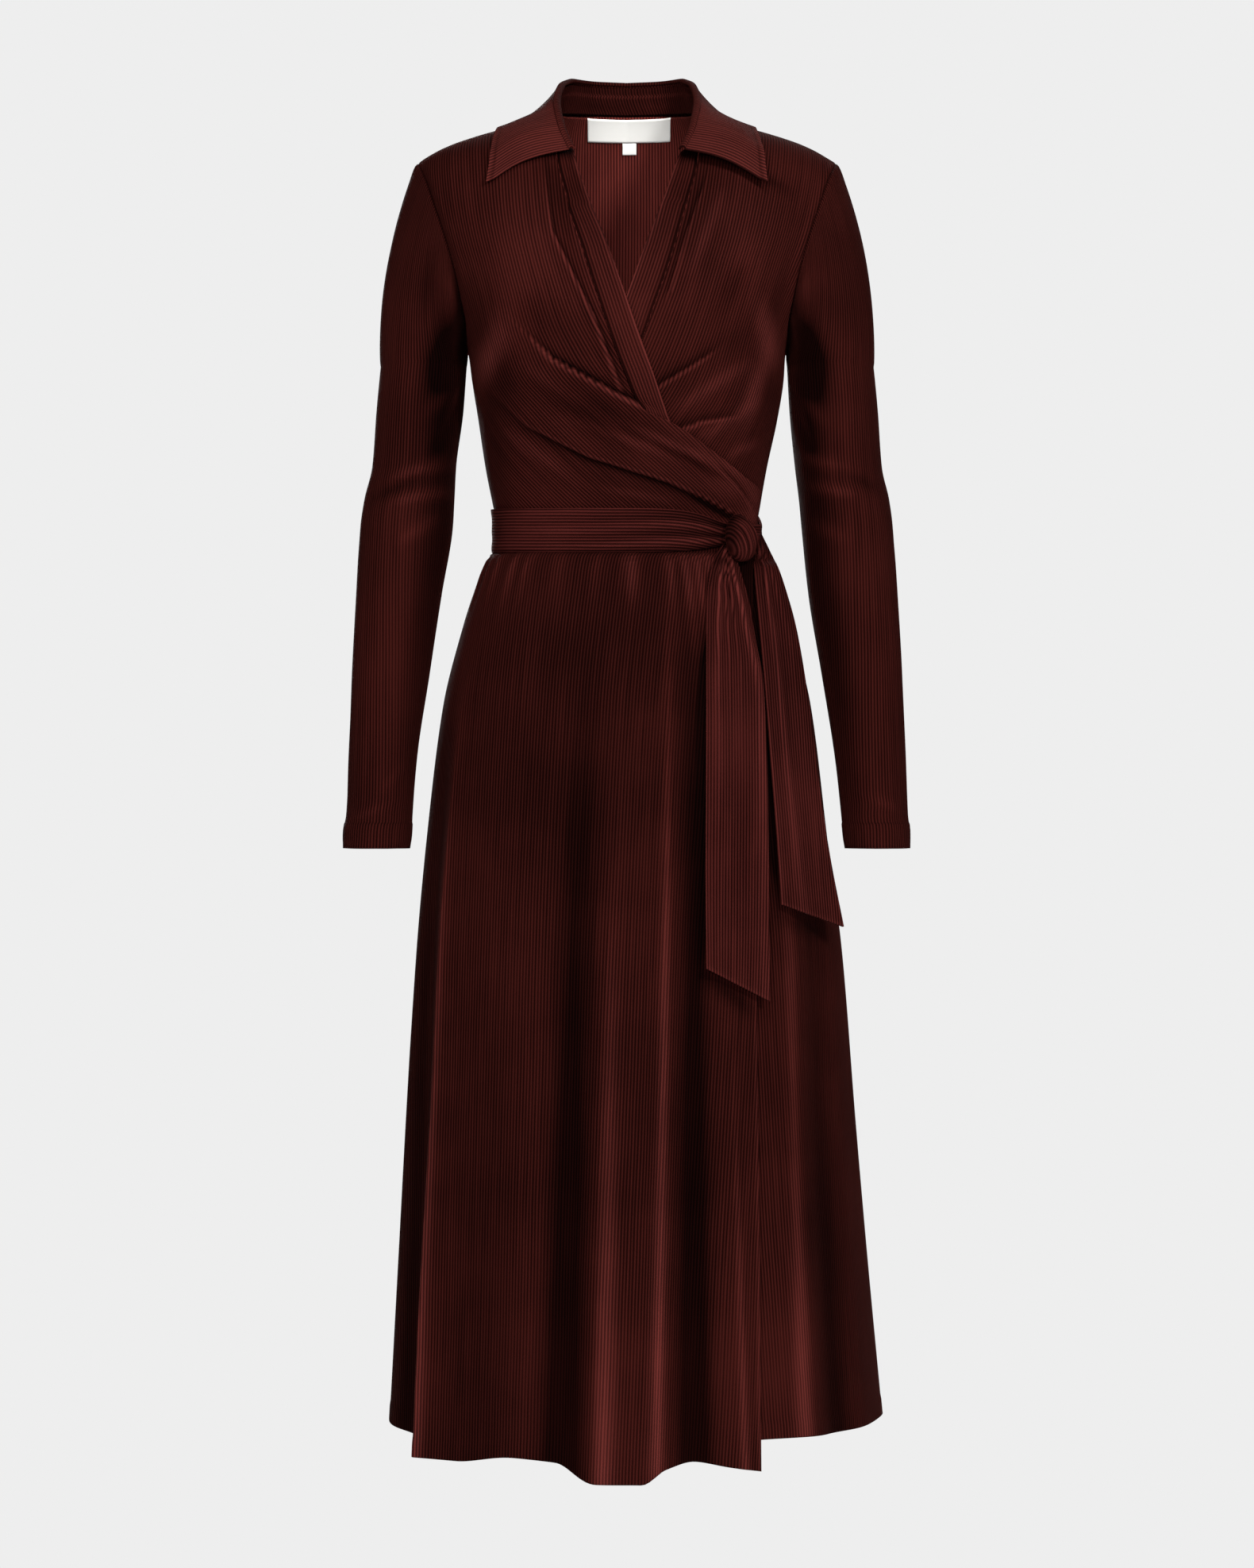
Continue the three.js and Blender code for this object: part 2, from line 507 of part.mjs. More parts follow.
// Moves every point of a grid along the surface's own normal, by an amount that depends on the point
function liftRows(rows, amount, outward) {
  const down = rows.length;
  const across = rows[0].length;
  return rows.map((row, j) => row.map((point, i) => {
    const side = row[Math.min(across - 1, i + 1)].clone().sub(row[Math.max(0, i - 1)]);
    const up = rows[Math.min(down - 1, j + 1)][i].clone().sub(rows[Math.max(0, j - 1)][i]);
    const normal = side.cross(up).normalize();
    if (normal.dot(outward(point)) < 0) normal.negate();
    normal.setZ(normal.z * smooth(0, 60, Math.abs(point.z - WAIST_Z))).normalize();
    return point.clone().addScaledVector(normal, amount(point, i, j));
  }));
}

const fromAxis = (point) => new THREE.Vector3(point.x, point.y, 0);

// The side boundary of a bodice panel: side seam up to the armpit, then the armhole seam
function sideBoundary(v, sign, isBack) {
  if (v <= ARMPIT_SHARE) {
    const z = mix(WAIST_Z + SEAM_GAP / 2, ARMPIT.z, v / ARMPIT_SHARE);
    return { angle: (sign * Math.PI) / 2, level: levelOf(0, z, isBack) };
  }
  const share = (v - ARMPIT_SHARE) / (1 - ARMPIT_SHARE);
  const middle = (ARMPIT.z + SHOULDER_TIP.z) / 2;
  const z = middle - ((SHOULDER_TIP.z - ARMPIT.z) / 2) * Math.cos(Math.PI * share);
  const x = sign * armholeX(z);
  return { angle: angleOf(x, z), level: v === 1 ? 2 : levelOf(x, z, isBack) };
}

// Share of the height that a bodice row lies at
function bodiceShare(j, below) {
  return j <= below ? (ARMPIT_SHARE * j) / below : mix(ARMPIT_SHARE, 1, (j - below) / ARMHOLE_ROWS);
}

function bodiceRows({ across, below }, point) {
  return gridRows([across, below + ARMHOLE_ROWS], (s, t) => {
    return point(s, bodiceShare(Math.round(t * (below + ARMHOLE_ROWS)), below));
  });
}

const seamInset = (sign, v) => (v <= ARMPIT_SHARE ? (sign * (SEAM_GAP / 2 + 0.1)) / ARMPIT.x : 0);

function frontPanelRows(grid, edge, sign, pleats, layer) {
  const edgeX = curve(edge, "v", "x");
  const edgeZ = curve(edge, "v", "z");
  const rows = bodiceRows(grid, (s, v) => {
    const side = sideBoundary(v, sign, false);
    const x = edgeX(v);
    const z = v === 0 ? WAIST_Z + SEAM_GAP / 2 : edgeZ(v);
    const free = { angle: angleOf(x, z), level: v === 1 ? 2 : levelOf(x, z, false) };
    const angle = mix(side.angle, free.angle, s) - seamInset(sign, v) * (1 - s);
    return bodicePoint(angle, mix(side.level, free.level, s), false);
  });
  const flatEdge = (j) => smooth(0, 2, grid.below + ARMHOLE_ROWS - j);
  return liftRows(rows, (point, i, j) => {
    const angle = angleOf(point.x, point.z);
    return (layer(angle) + pleatHeight(pleats, point.x, point.z)) * flatEdge(j) * smooth(0, 3, i);
  }, fromAxis);
}

function overFrontRows() {
  return frontPanelRows(GRID.overFront, OVER_EDGE, -1, OVER_PLEATS, overLayer);
}

function underFrontRows() {
  return frontPanelRows(GRID.underFront, UNDER_EDGE, 1, UNDER_PLEATS, underLayer);
}

// The back's columns keep one on each side of the neck, so that its top corner is sharp
function backBodiceRows() {
  const neckAngle = Math.asin((NECK_SIDE.x / sectionLeft(NECK_SIDE.z)) ** (SECTION_POWER / 2));
  const shoulderPart = 1 / 3;
  return bodiceRows(GRID.backBodice, (s, v) => {
    const sign = s < 0.5 ? -1 : 1;
    const outward = Math.abs(s - 0.5) * 2;
    const side = sideBoundary(v, 1, true);
    const corner = mix(side.angle * (1 - shoulderPart), neckAngle, v);
    const angle = outward > 1 - shoulderPart
      ? mix(corner, side.angle - seamInset(1, v), (outward - 1 + shoulderPart) / shoulderPart)
      : (corner * outward) / (1 - shoulderPart);
    const x = Math.min(NECK_SIDE.x, Math.abs(bodicePoint(angle, 2, true).x));
    const top = x >= NECK_SIDE.x - 0.01 ? 2 : levelOf(x, backNeckZ(x), true);
    const level = side.level * mix(1, top / 2, smooth(0.3, 1, v));
    return bodicePoint(sign * angle, level, true);
  });
}

// The shoulder seam needs a gap: the back's top row is drawn back from it
const SHOULDER_GAP_SHARE = 0.62;

function withShoulderGap(rows, direction) {
  const last = rows.length - 1;
  const drawn = new THREE.Vector3(0, direction * WALL.bodice * SHOULDER_GAP_SHARE, 0);
  rows[last] = rows[last].map((point) => point.clone().add(drawn));
  return rows;
}

function armholePoint(turn, sign) {
  const middle = (ARMPIT.z + SHOULDER_TIP.z) / 2;
  const z = middle - ((SHOULDER_TIP.z - ARMPIT.z) / 2) * Math.cos(turn);
  const isBack = Math.sin(turn) < 0;
  const x = armholeX(z);
  const y = Math.abs(Math.sin(turn)) < 1e-6 ? 0 : formDepth(x, z, isBack);
  return new THREE.Vector3(sign * x, y, z);
}

function sleeveRows(table, sign) {
  const column = (name) => curve(table, "z", name);
  const [outer, inner, depth, middle] = ["outer", "inner", "depth", "middle"].map(column);
  const top = table[0].z;
  const bottom = table.at(-1).z;
  const ringPoint = (turn, z) => {
    const centre = (outer(z) + inner(z)) / 2;
    const half = (outer(z) - inner(z)) / 2;
    const x = sign * (centre - half * Math.cos(turn));
    return new THREE.Vector3(x, middle(z) - depth(z) * Math.sin(turn), z);
  };
  return gridRows(GRID.sleeve, (s, v) => {
    const turn = 2 * Math.PI * s;
    if (v > SLEEVE_HEAD.share) {
      const share = (v - SLEEVE_HEAD.share) / (1 - SLEEVE_HEAD.share);
      return ringPoint(turn, mix(top, bottom, share));
    }
    const share = v / SLEEVE_HEAD.share;
    const outside = Math.max(0, -Math.cos(turn));
    const nearArmpit = smooth(0.2, 0.9, Math.cos(turn));
    const clearance = mix(SLEEVE_HEAD.seamClearance, SLEEVE_HEAD.armpitClearance, nearArmpit);
    const seam = armholePoint(turn, sign).add(new THREE.Vector3(sign * clearance, 0, 0));
    const point = seam.lerp(ringPoint(turn, top), share);
    point.x += sign * SLEEVE_HEAD.bulge * Math.sin(Math.PI * share) ** 0.8 * outside;
    return point;
  }, { ring: true });
}

// A skirt panel runs between two angles that may change with the height, down to its own hem
function skirtRows({ across, from, to, hem, layer, drape = skirtFoldHeight }) {
  const topZ = WAIST_Z - SEAM_GAP;
  const angleAt = (s, down) => {
    const levelZ = mix(topZ, SKIRT_BOTTOM_Z, down);
    return mix(from(levelZ), to(levelZ), s);
  };
  const rows = SKIRT_ROWS.map((down) => Array.from({ length: across + 1 }, (_, i) => {
    const angle = angleAt(i / across, down);
    return skirtPoint(angle, mix(topZ, hem(THREE.MathUtils.radToDeg(angle)), down));
  }));
  return liftRows(rows, (point, i, j) => {
    const angle = angleAt(i / across, SKIRT_ROWS[j]);
    return layer(angle) + drape(angle, point.z);
  }, fromAxis);
}

const sideInset = SEAM_GAP / 2 / ARMPIT.x;

const overSkirtEdge = curve(OVER_SKIRT_EDGE, "z", "x");
const underSkirtEdge = curve(UNDER_SKIRT_EDGE, "z", "x");

// The under front stays behind the over one: where that covers it, it takes the lowest fold height nearby
function coveredFoldHeight(angle, z) {
  const edge = angleOf(overSkirtEdge(z), z);
  const covered = 1 - smooth(edge, edge + radians(COVER.fade), angle);
  const nearby = Array.from({ length: 2 * COVER.steps + 1 }, (_, i) => {
    return skirtFoldHeight(angle + radians((i - COVER.steps) * COVER.step), z);
  });
  const lowest = Math.min(...nearby);
  return mix(skirtFoldHeight(angle, z), lowest, covered);
}

function overSkirtRows() {
  return skirtRows({
    across: GRID.overSkirt, layer: overLayer, hem: curve(HEM_LINE, "angle", "z"),
    from: () => -Math.PI / 2 + sideInset, to: (z) => angleOf(overSkirtEdge(z), z),
  });
}

function underSkirtRows() {
  return skirtRows({
    across: GRID.underSkirt, layer: underLayer, hem: curve(UNDER_HEM_LINE, "angle", "z"),
    from: (z) => angleOf(underSkirtEdge(z), z), to: () => Math.PI / 2 - sideInset, drape: coveredFoldHeight,
  });
}

function backSkirtRows() {
  const beyond = UNDER_HEM_LINE.filter((row) => row.angle > HEM_LINE.at(-1).angle);
  const round = curve([...HEM_LINE, ...beyond], "angle", "z");
  return skirtRows({
    across: GRID.backSkirt, layer: () => 0, hem: (degrees) => round(angleGap(degrees, 0)),
    from: () => Math.PI / 2 + sideInset, to: () => 1.5 * Math.PI - sideInset,
  });
}

// A band runs along the front's edge, between that seam and its own free edge. Its rows are the panel's own.
function bandRows(edge, free, layer, pleats, sign) {
  const [seamX, freeX] = [edge, free].map((table) => curve(table, "v", "x"));
  const [seamZ, freeZ] = [edge, free].map((table) => curve(table, "v", "z"));
  const rows = gridRows(GRID.band, (s, t) => {
    const v = mix(ARMPIT_SHARE, 1, (t * GRID.band[1]) / ARMHOLE_ROWS);
    const start = t === 0 ? BAND.tuckClearance : 0;
    const x = mix(seamX(v) + sign * BAND.seamClearance, freeX(v), s);
    const z = mix(seamZ(v), freeZ(v), s) + start;
    return new THREE.Vector3(x, formDepth(x, z, false), z);
  });
  return liftRows(rows, (point, i, j) => {
    const seamLift = pleatHeight(pleats, point.x - sign * 2, point.z) * smooth(3, 0, i);
    const flatEdge = smooth(0, 2, ARMHOLE_ROWS - j);
    return (layer(angleOf(point.x, point.z)) + BAND.lift + seamLift) * flatEdge;
  }, fromAxis);
}

function halfCurve(table) {
  const columns = ["x", "y", "z"].map((name) => curve(table, "share", name));
  return (share) => {
    const [x, y, z] = columns.map((column) => column(Math.abs(share)));
    return new THREE.Vector3(Math.sign(share) * x, y, z);
  };
}

const collarSeam = halfCurve(COLLAR_SEAM);
const collarFold = halfCurve(COLLAR_FOLD);
const collarEdge = halfCurve(COLLAR_EDGE);

function standRows() {
  return gridRows(GRID.stand, (s, t) => {
    const share = (2 * s - 1) * STAND.reach;
    return collarSeam(share).lerp(collarFold(share), mix(STAND.bottom, STAND.top, t));
  });
}

// The fall rolls over at the fold and widens to the collar's edge and points
function fallRows() {
  return gridRows(GRID.fall, (s, t) => {
    const share = 2 * s - 1;
    const fold = collarFold(share);
    const edge = collarEdge(share);
    const outward = edge.clone().sub(fold).setZ(0).normalize();
    const start = fold.clone().addScaledVector(outward, WALL.collar + SEAM_GAP + FALL_SLACK);
    const point = start.lerp(edge, t);
    const roll = COLLAR_ROLL * Math.sin(Math.PI * Math.min(1, t * 1.1)) * (1 - 0.2 * Math.abs(share));
    return point.addScaledVector(outward, roll * 0.7).add(new THREE.Vector3(0, 0, roll));
  });
}

// The belt lies outside every layer at the waist and narrows towards its knot
function beltRows() {
  const layers = WALL.bodice / 2 + SEAM_GAP + BELT.slack + WALL.belt / 2;
  return gridRows(GRID.belt, (s, t) => {
    const angle = 2 * Math.PI * s - Math.PI;
    const past = angleGap(THREE.MathUtils.radToDeg(angle), BELT.knotAngle);
    const nearKnot = past < 0 ? Math.exp(-((past / BELT.pinch) ** 2)) : 1 - smooth(...BELT.widens, past);
    const half = mix(BELT.halfHeight, BELT.knotHalfHeight, nearKnot);
    const middle = BELT.middleZ - BELT.frontDrop * Math.max(0, Math.cos(angle)) - BELT.knotDrop * nearKnot;
    const point = skirtPoint(angle, middle + half * (1 - 2 * t));
    const over = overLayer(angle) * (1 - smooth(...BELT.stepsDown.map(radians), angle));
    return point.addScaledVector(fromAxis(point).normalize(), (over + layers) * BELT.fullness);
  }, { ring: true });
}

// The knot is a rounded lump with the turns of the belt as grooves across it
function knotGeometry() {
  const angle = angleOf(KNOT.x, KNOT.z);
  const seat = skirtPoint(angle, KNOT.z);
  const along = skirtPoint(angle + 0.03, KNOT.z).sub(skirtPoint(angle - 0.03, KNOT.z));
  const normal = new THREE.Vector3(along.y, -along.x, 0).normalize();
  const standOff = LAYER + WALL.bodice + WALL.belt + KNOT.slack + KNOT.depth / 2;
  const centre = seat.clone().addScaledVector(normal, standOff);
  const sideways = new THREE.Vector3(0, 0, 1).cross(normal).normalize();
  const [around, rise] = GRID.knot;
  const positions = [];
  const faces = [];
  const place = (u, w) => {
    const lat = Math.PI * (w - 0.5);
    const lon = 2 * Math.PI * u;
    const groove = 1 - KNOT.grooveDepth * Math.cos(KNOT.grooves * (lon + KNOT.twist * lat)) * Math.cos(lat);
    const a = Math.cos(lat) * Math.cos(lon) * (KNOT.width / 2) * groove;
    const b = Math.cos(lat) * Math.sin(lon) * (KNOT.depth / 2) * groove;
    const c = Math.sin(lat) * (KNOT.height / 2);
    const point = centre.clone().addScaledVector(sideways, a).addScaledVector(normal, b);
    return point.add(new THREE.Vector3(0, 0, c));
  };
  const push = (point) => positions.push(point.x, point.y, point.z) / 3 - 1;
  const bottom = push(place(0, 0));
  const rings = [];
  for (let j = 1; j < rise; j += 1) {
    rings.push(Array.from({ length: around }, (_, i) => push(place(i / around, j / rise))));
  }
  const top = push(place(0, 1));
  for (let i = 0; i < around; i += 1) {
    const n = (i + 1) % around;
    faces.push(bottom, rings[0][n], rings[0][i], top, rings.at(-1)[i], rings.at(-1)[n]);
    for (let j = 0; j < rings.length - 1; j += 1) {
      faces.push(rings[j][i], rings[j][n], rings[j + 1][n], rings[j][i], rings[j + 1][n], rings[j + 1][i]);
    }
  }
  return closedGeometry(positions, faces);
}

// A tail hangs from the knot, clear of the skirt, with ripples that fade on the way down
function tailRows(table, grid) {
  const column = (name) => curve(table, "v", name);
  const [xl, xr, zl, zr, off] = ["xl", "xr", "zl", "zr", "off"].map(column);
  const turn = table[0].turn === undefined ? null : column("turn");
  return gridRows(grid, (s, v) => {
    const x = mix(xl(v), xr(v), s);
    const z = mix(zl(v), zr(v), s);
    const base = turn ? xl(v) : x;
    const angle = angleOf(base, z);
    const fold = Math.max(0, skirtFoldHeight(angle, z));
    const ripple = TAIL_RIPPLES.height * Math.sin(2 * Math.PI * TAIL_RIPPLES.count * s)
      * Math.exp(-v / TAIL_RIPPLES.fade) * (turn ? 0.5 : 1);
    const lean = turn ? turn(v) * s : 0;
    return new THREE.Vector3(x, formDepth(base, z, false) - off(v) - fold - ripple + lean, z);
  });
}

function labelRows(label) {
  return gridRows(GRID.label, (s, t) => {
    const x = label.x + label.width * (s - 0.5);
    const z = mix(label.top, label.bottom, t);
    return new THREE.Vector3(x, formDepth(x, z, true) - label.inset, z);
  });
}

const VELVET = new THREE.MeshStandardMaterial({ color: 0x30100e, roughness: 0.85, metalness: 0 });
const BELT_VELVET = new THREE.MeshStandardMaterial({ color: 0x3b1515, roughness: 0.85, metalness: 0 });
const WHITE_TAPE = new THREE.MeshStandardMaterial({ color: 0xf3f1ec, roughness: 0.6, metalness: 0 });

const dress = new THREE.Group();

function addPiece(name, geometry, material) {
  const mesh = new THREE.Mesh(geometry, material.clone());
  mesh.name = name;
  dress.add(mesh);
}

function addWall(name, rows, thickness, material, options) {
  addPiece(name, wallGeometry(rows, thickness, options), material);
}

addWall("back_bodice", withShoulderGap(backBodiceRows(), 1), WALL.bodice, VELVET);
addWall("right_front_bodice", withShoulderGap(overFrontRows(), -1), WALL.bodice, VELVET);
addWall("left_front_bodice", withShoulderGap(underFrontRows(), -1), WALL.bodice, VELVET);
const overBand = bandRows(OVER_EDGE, OVER_BAND_FREE, overLayer, OVER_PLEATS, 1);
const underBand = bandRows(UNDER_EDGE, UNDER_BAND_FREE, underLayer, UNDER_PLEATS, -1);
addWall("right_front_band", overBand, WALL.band, VELVET);
addWall("left_front_band", underBand, WALL.band, VELVET);
addWall("right_sleeve", sleeveRows(RIGHT_SLEEVE, -1), WALL.sleeve, VELVET, { ring: true });
addWall("left_sleeve", sleeveRows(LEFT_SLEEVE, 1), WALL.sleeve, VELVET, { ring: true });
addWall("collar_stand", standRows(), WALL.collar, VELVET);
addWall("collar_fall", fallRows(), WALL.collar, VELVET);
addWall("back_skirt", backSkirtRows(), WALL.skirt, VELVET);
addWall("right_front_skirt", overSkirtRows(), WALL.skirt, VELVET);
addWall("left_front_skirt", underSkirtRows(), WALL.skirt, VELVET);
addWall("waist_belt", beltRows(), WALL.belt, BELT_VELVET, { ring: true });
addPiece("belt_knot", knotGeometry(), BELT_VELVET);
addWall("belt_tail_front", tailRows(FRONT_TAIL, GRID.frontTail), WALL.belt, BELT_VELVET);
addWall("belt_tail_side", tailRows(SIDE_TAIL, GRID.sideTail), WALL.belt, BELT_VELVET);
addWall("neck_label", labelRows(NECK_LABEL), WALL.label, WHITE_TAPE);
addWall("size_tab", labelRows(SIZE_TAB), WALL.label, WHITE_TAPE);

export default dress;
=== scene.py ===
"""A long-sleeved wrap dress in fine-ribbed velvet, filled out as if worn, with its own tie belt.

Every surface is worked out in millimetres with numpy, as whole grids, on the body form that the frame's
solids have. The shells that carry them are put into the meshes in metres.
"""

import logging
import math
from dataclasses import dataclass, field
from enum import Enum
from typing import Callable, Sequence

import bpy
import numpy as np
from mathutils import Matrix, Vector

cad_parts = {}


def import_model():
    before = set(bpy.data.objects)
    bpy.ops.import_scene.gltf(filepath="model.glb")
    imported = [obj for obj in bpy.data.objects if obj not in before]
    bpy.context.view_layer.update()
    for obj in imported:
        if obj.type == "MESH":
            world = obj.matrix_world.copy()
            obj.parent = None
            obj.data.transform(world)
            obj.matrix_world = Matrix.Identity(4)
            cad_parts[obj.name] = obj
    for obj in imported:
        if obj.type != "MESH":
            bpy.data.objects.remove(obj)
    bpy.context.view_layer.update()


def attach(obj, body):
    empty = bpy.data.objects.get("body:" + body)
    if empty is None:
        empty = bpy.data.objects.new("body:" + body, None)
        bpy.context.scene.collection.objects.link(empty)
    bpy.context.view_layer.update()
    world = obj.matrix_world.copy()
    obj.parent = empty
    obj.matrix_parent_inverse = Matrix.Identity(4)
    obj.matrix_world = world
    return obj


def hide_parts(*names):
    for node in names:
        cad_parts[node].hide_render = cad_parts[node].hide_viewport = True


LOG = logging.getLogger("wrap_dress")
MM = 0.001
UP = np.array([0.0, 0.0, 1.0])
# painted light on a crease, and painted shade in a trough, for each millimetre that it stands out or sinks
# in
PAINTED_LIGHT_PER_MM = 0.42
Array = np.ndarray


class Side(Enum):
    """Which of the two mirrored halves a piece belongs to, as the sign of its x."""

    WEARER_RIGHT = -1
    WEARER_LEFT = 1

    @property
    def word(self) -> str:
        """The word that starts the names of this side's pieces."""
        return "right" if self is Side.WEARER_RIGHT else "left"


class Hang(Enum):
    """How a sheet of cloth is held, in the words of the frame."""

    HUNG = "hung"
    DRAPED = "draped"
    STRETCHED = "stretched"


class Slot(Enum):
    """The finish slots of the frame."""

    VELVET = "ribbed_velvet"
    BELT = "ribbed_velvet_belt"
    LABEL = "white_label"


def smooth(low: float, high: float, value: Array | float) -> Array:
    """Smoothstep of a value or an array: 0 at low, 1 at high, 3t^2 - 2t^3 between them."""
    t = np.clip((np.asarray(value, float) - low) / (high - low), 0.0, 1.0)
    return t * t * (3.0 - 2.0 * t)


def bell(value: Array | float, spread: float) -> Array:
    """Gaussian bump, exp(-(value / spread)^2)."""
    return np.exp(-((np.asarray(value, float) / spread) ** 2))


def mix(a: Array | float, b: Array | float, t: Array | float) -> Array:
    """Straight blend, a + (b - a) t."""
    return a + (b - a) * t


def degree_gap(a: Array | float, b: Array | float) -> Array:
    """Difference of two angles in degrees, turned into the range -180 to 180."""
    return (np.asarray(a, float) - b + 540.0) % 360.0 - 180.0


class Curve:
    """Cubic through a table of points, with slopes that never overshoot.

    Between two rows it is the Hermite cubic of their values and slopes. A row's slope is the harmonic
    mean of the slopes of the straight lines on its two sides, or 0 where they differ in sign.
    """

    def __init__(self, at: Sequence[float], value: Sequence[float]) -> None:
        """Sorts the rows and works out their slopes.

        Args:
            at: Where each row lies.
            value: The row's value.
        """
        order = np.argsort(np.asarray(at, float))
        self.at = np.asarray(at, float)[order]
        self.value = np.asarray(value, float)[order]
        chord = np.diff(self.value) / np.diff(self.at)
        before, after = chord[:-1], chord[1:]
        total = np.where(before * after > 0, before + after, 1.0)
        inner = np.where(before * after > 0, 2.0 * before * after / total, 0.0)
        self.slope = np.concatenate([chord[:1], inner, chord[-1:]])

    def __call__(self, where: Array | float) -> Array:
        """Cubic through the rows, held at the ends of the table.

        Args:
            where: One place or an array of places.

        Returns:
            The value at each place.
        """
        where = np.clip(np.asarray(where, float), self.at[0], self.at[-1])
        i = np.clip(np.searchsorted(self.at, where, side="right") - 1, 0, len(self.at) - 2)
        step = self.at[i + 1] - self.at[i]
        t = (where - self.at[i]) / step
        t2, t3 = t * t, t * t * t
        return (self.value[i] * (2 * t3 - 3 * t2 + 1) + self.value[i + 1] * (3 * t2 - 2 * t3)
                + self.slope[i] * step * (t3 - 2 * t2 + t) + self.slope[i + 1] * step * (t3 - t2))


def curves(rows: Sequence[Sequence[float]]) -> list[Curve]:
    """One curve for each column after the first, over the first column."""
    table = np.asarray(rows, float)
    return [Curve(table[:, 0], table[:, column]) for column in range(1, table.shape[1])]


@dataclass(frozen=True)
class BodyForm:
    """The general figure that the cloth follows: sections that are squared ellipses.

    A point is named by its angle round the body, 0 at the middle of the front and growing towards +X, and
    by a level: 0 to 1 climbs from the waist to the break, 1 to 2 slopes from there to the shoulder seam.
    """

    waist_z: float = -358.0
    break_z: float = -130.0
    power: float = 2.3
    back_roof_power: float = 2.2
    # x and z depend on each other above the break, so they are found by guessing again
    first_guess: float = 150.0
    guesses: int = 8
    # height, half width on the wearer's right, half width on the left, depth of front, depth of back
    sections: tuple = (
        (-1200, 213, 222, 194, 164), (-1130, 208.6, 216.5, 188, 158), (-1008, 201.6, 206.5, 178, 152),
        (-868, 193.2, 196, 163, 148), (-728, 184.8, 187, 142, 140), (-623, 175, 175, 131, 130),
        (-511, 161, 161, 118, 118), (-441, 143.5, 143.5, 106, 104), (-408, 133, 133, 100, 95),
        (-391, 126.5, 126.5, 94.5, 89), (-385, 118.5, 118.5, 86.5, 81.5), (-379, 115.5, 115.5, 85.5, 78.5),
        (-347, 114.8, 114.8, 85, 78), (-334, 117.4, 116.7, 88, 80), (-301, 123.9, 122.5, 96, 86),
        (-259, 130.2, 131.6, 112, 95), (-224, 135.8, 137.2, 121, 102), (-203, 138.6, 138.6, 124, 105),
        (-175, 147.3, 147.3, 125.5, 108), (-150, 157.5, 157.5, 122, 109), (-122, 170, 170, 115, 110),
        (-94.5, 179, 179, 112, 110), (-63, 188, 188, 112, 110), (-34, 195, 195, 112, 110),
        (60, 205, 205, 112, 110),
    )
    # distance from the middle, height of the shoulder seam
    shoulder_line: tuple = (
        (0, 35), (30, 30), (50, 18), (62, 9), (80, 4), (110, -3.5), (133, -10.5), (161, -21), (184, -33.6),
        (260, -80),
    )
    _made: dict = field(default_factory=dict, compare=False)

    def column(self, index: int) -> Curve:
        """Curve of one column of the sections, made once."""
        if index not in self._made:
            self._made[index] = curves(self.sections)[index]
        return self._made[index]

    def shoulder_z(self, x: Array) -> Array:
        """Height of the shoulder seam at x."""
        if "shoulder" not in self._made:
            self._made["shoulder"] = curves(self.shoulder_line)[0]
        return self._made["shoulder"](np.abs(x))

    def half_width(self, side: Array, z: Array) -> Array:
        """Half width of the section at z, on the side that the sign of side names."""
        return np.where(np.asarray(side) < 0, self.column(0)(z), self.column(1)(z))

    def roof_power(self, x: Array, back: bool) -> Array:
        """Roundness of the slope to the shoulder: almost straight near the neck, rounder at the arm."""
        near = mix(1.2, 2.2, np.clip((np.abs(x) - 50.0) / 100.0, 0.0, 1.0))
        return np.full_like(near, self.back_roof_power) if back else near

    def level_of(self, x: Array, z: Array, back: bool) -> Array:
        """Level of a point of the bodice, the inverse of the heights in bodice().

        Args:
            x: Distance from the middle.
            z: Height.
            back: True for the back of the body.

        Returns:
            (z - waist) / (break - waist) up to the break, then 1 + asin(rise^(roof power / 2)) / (pi / 2).
        """
        x, z = np.broadcast_arrays(np.asarray(x, float), np.asarray(z, float))
        low = (z - self.waist_z) / (self.break_z - self.waist_z)
        rise = np.clip((z - self.break_z) / (self.shoulder_z(x) - self.break_z), 0.0, 1.0)
        high = 1.0 + np.arcsin(rise ** (self.roof_power(x, back) / 2.0)) / (math.pi / 2.0)
        return np.where(z <= self.break_z, low, high)

    def angle_of(self, x: Array, z: Array) -> Array:
        """Angle from the middle of the front or back, from x and z."""
        share = np.clip(np.abs(x) / self.half_width(x, z), 0.0, 1.0)
        return np.sign(x) * np.arcsin(share ** (self.power / 2.0))

    def bodice(self, angle: Array, level: Array, back: bool) -> Array:
        """Point of the bodice form.

        x is the half width times |sin angle|^(2/power). y is the depth times |cos angle|^(2/power) and
        times the roof's taper |cos lean|^(2/roof power), where the lean grows from the break to the seam.

        Args:
            angle: Angles from the middle, in radians.
            level: Levels, 0 at the waist and 2 at the shoulder seam.
            back: True for the back of the body.

        Returns:
            Points in millimetres, with the shape of angle and a last axis of 3.
        """
        angle, level = np.broadcast_arrays(np.asarray(angle, float), np.asarray(level, float))
        share = np.sign(angle) * np.abs(np.sin(angle)) ** (2.0 / self.power)
        around = np.abs(np.cos(angle)) ** (2.0 / self.power)
        lean = np.clip(level - 1.0, 0.0, 1.0) * (math.pi / 2.0)
        x = share * self.first_guess
        for _ in range(self.guesses):
            roof = self.roof_power(x, back)
            high = mix(self.break_z, self.shoulder_z(x), np.sin(lean) ** (2.0 / roof))
            z = np.where(level <= 1.0, mix(self.waist_z, self.break_z, level), high)
            x = share * self.half_width(share, z)
        taper = np.where(level <= 1.0, 1.0, np.maximum(0.0, np.cos(lean)) ** (2.0 / roof))
        depth = self.column(3)(z) if back else -self.column(2)(z)
        return np.stack([x, depth * around * taper, z], axis=-1)

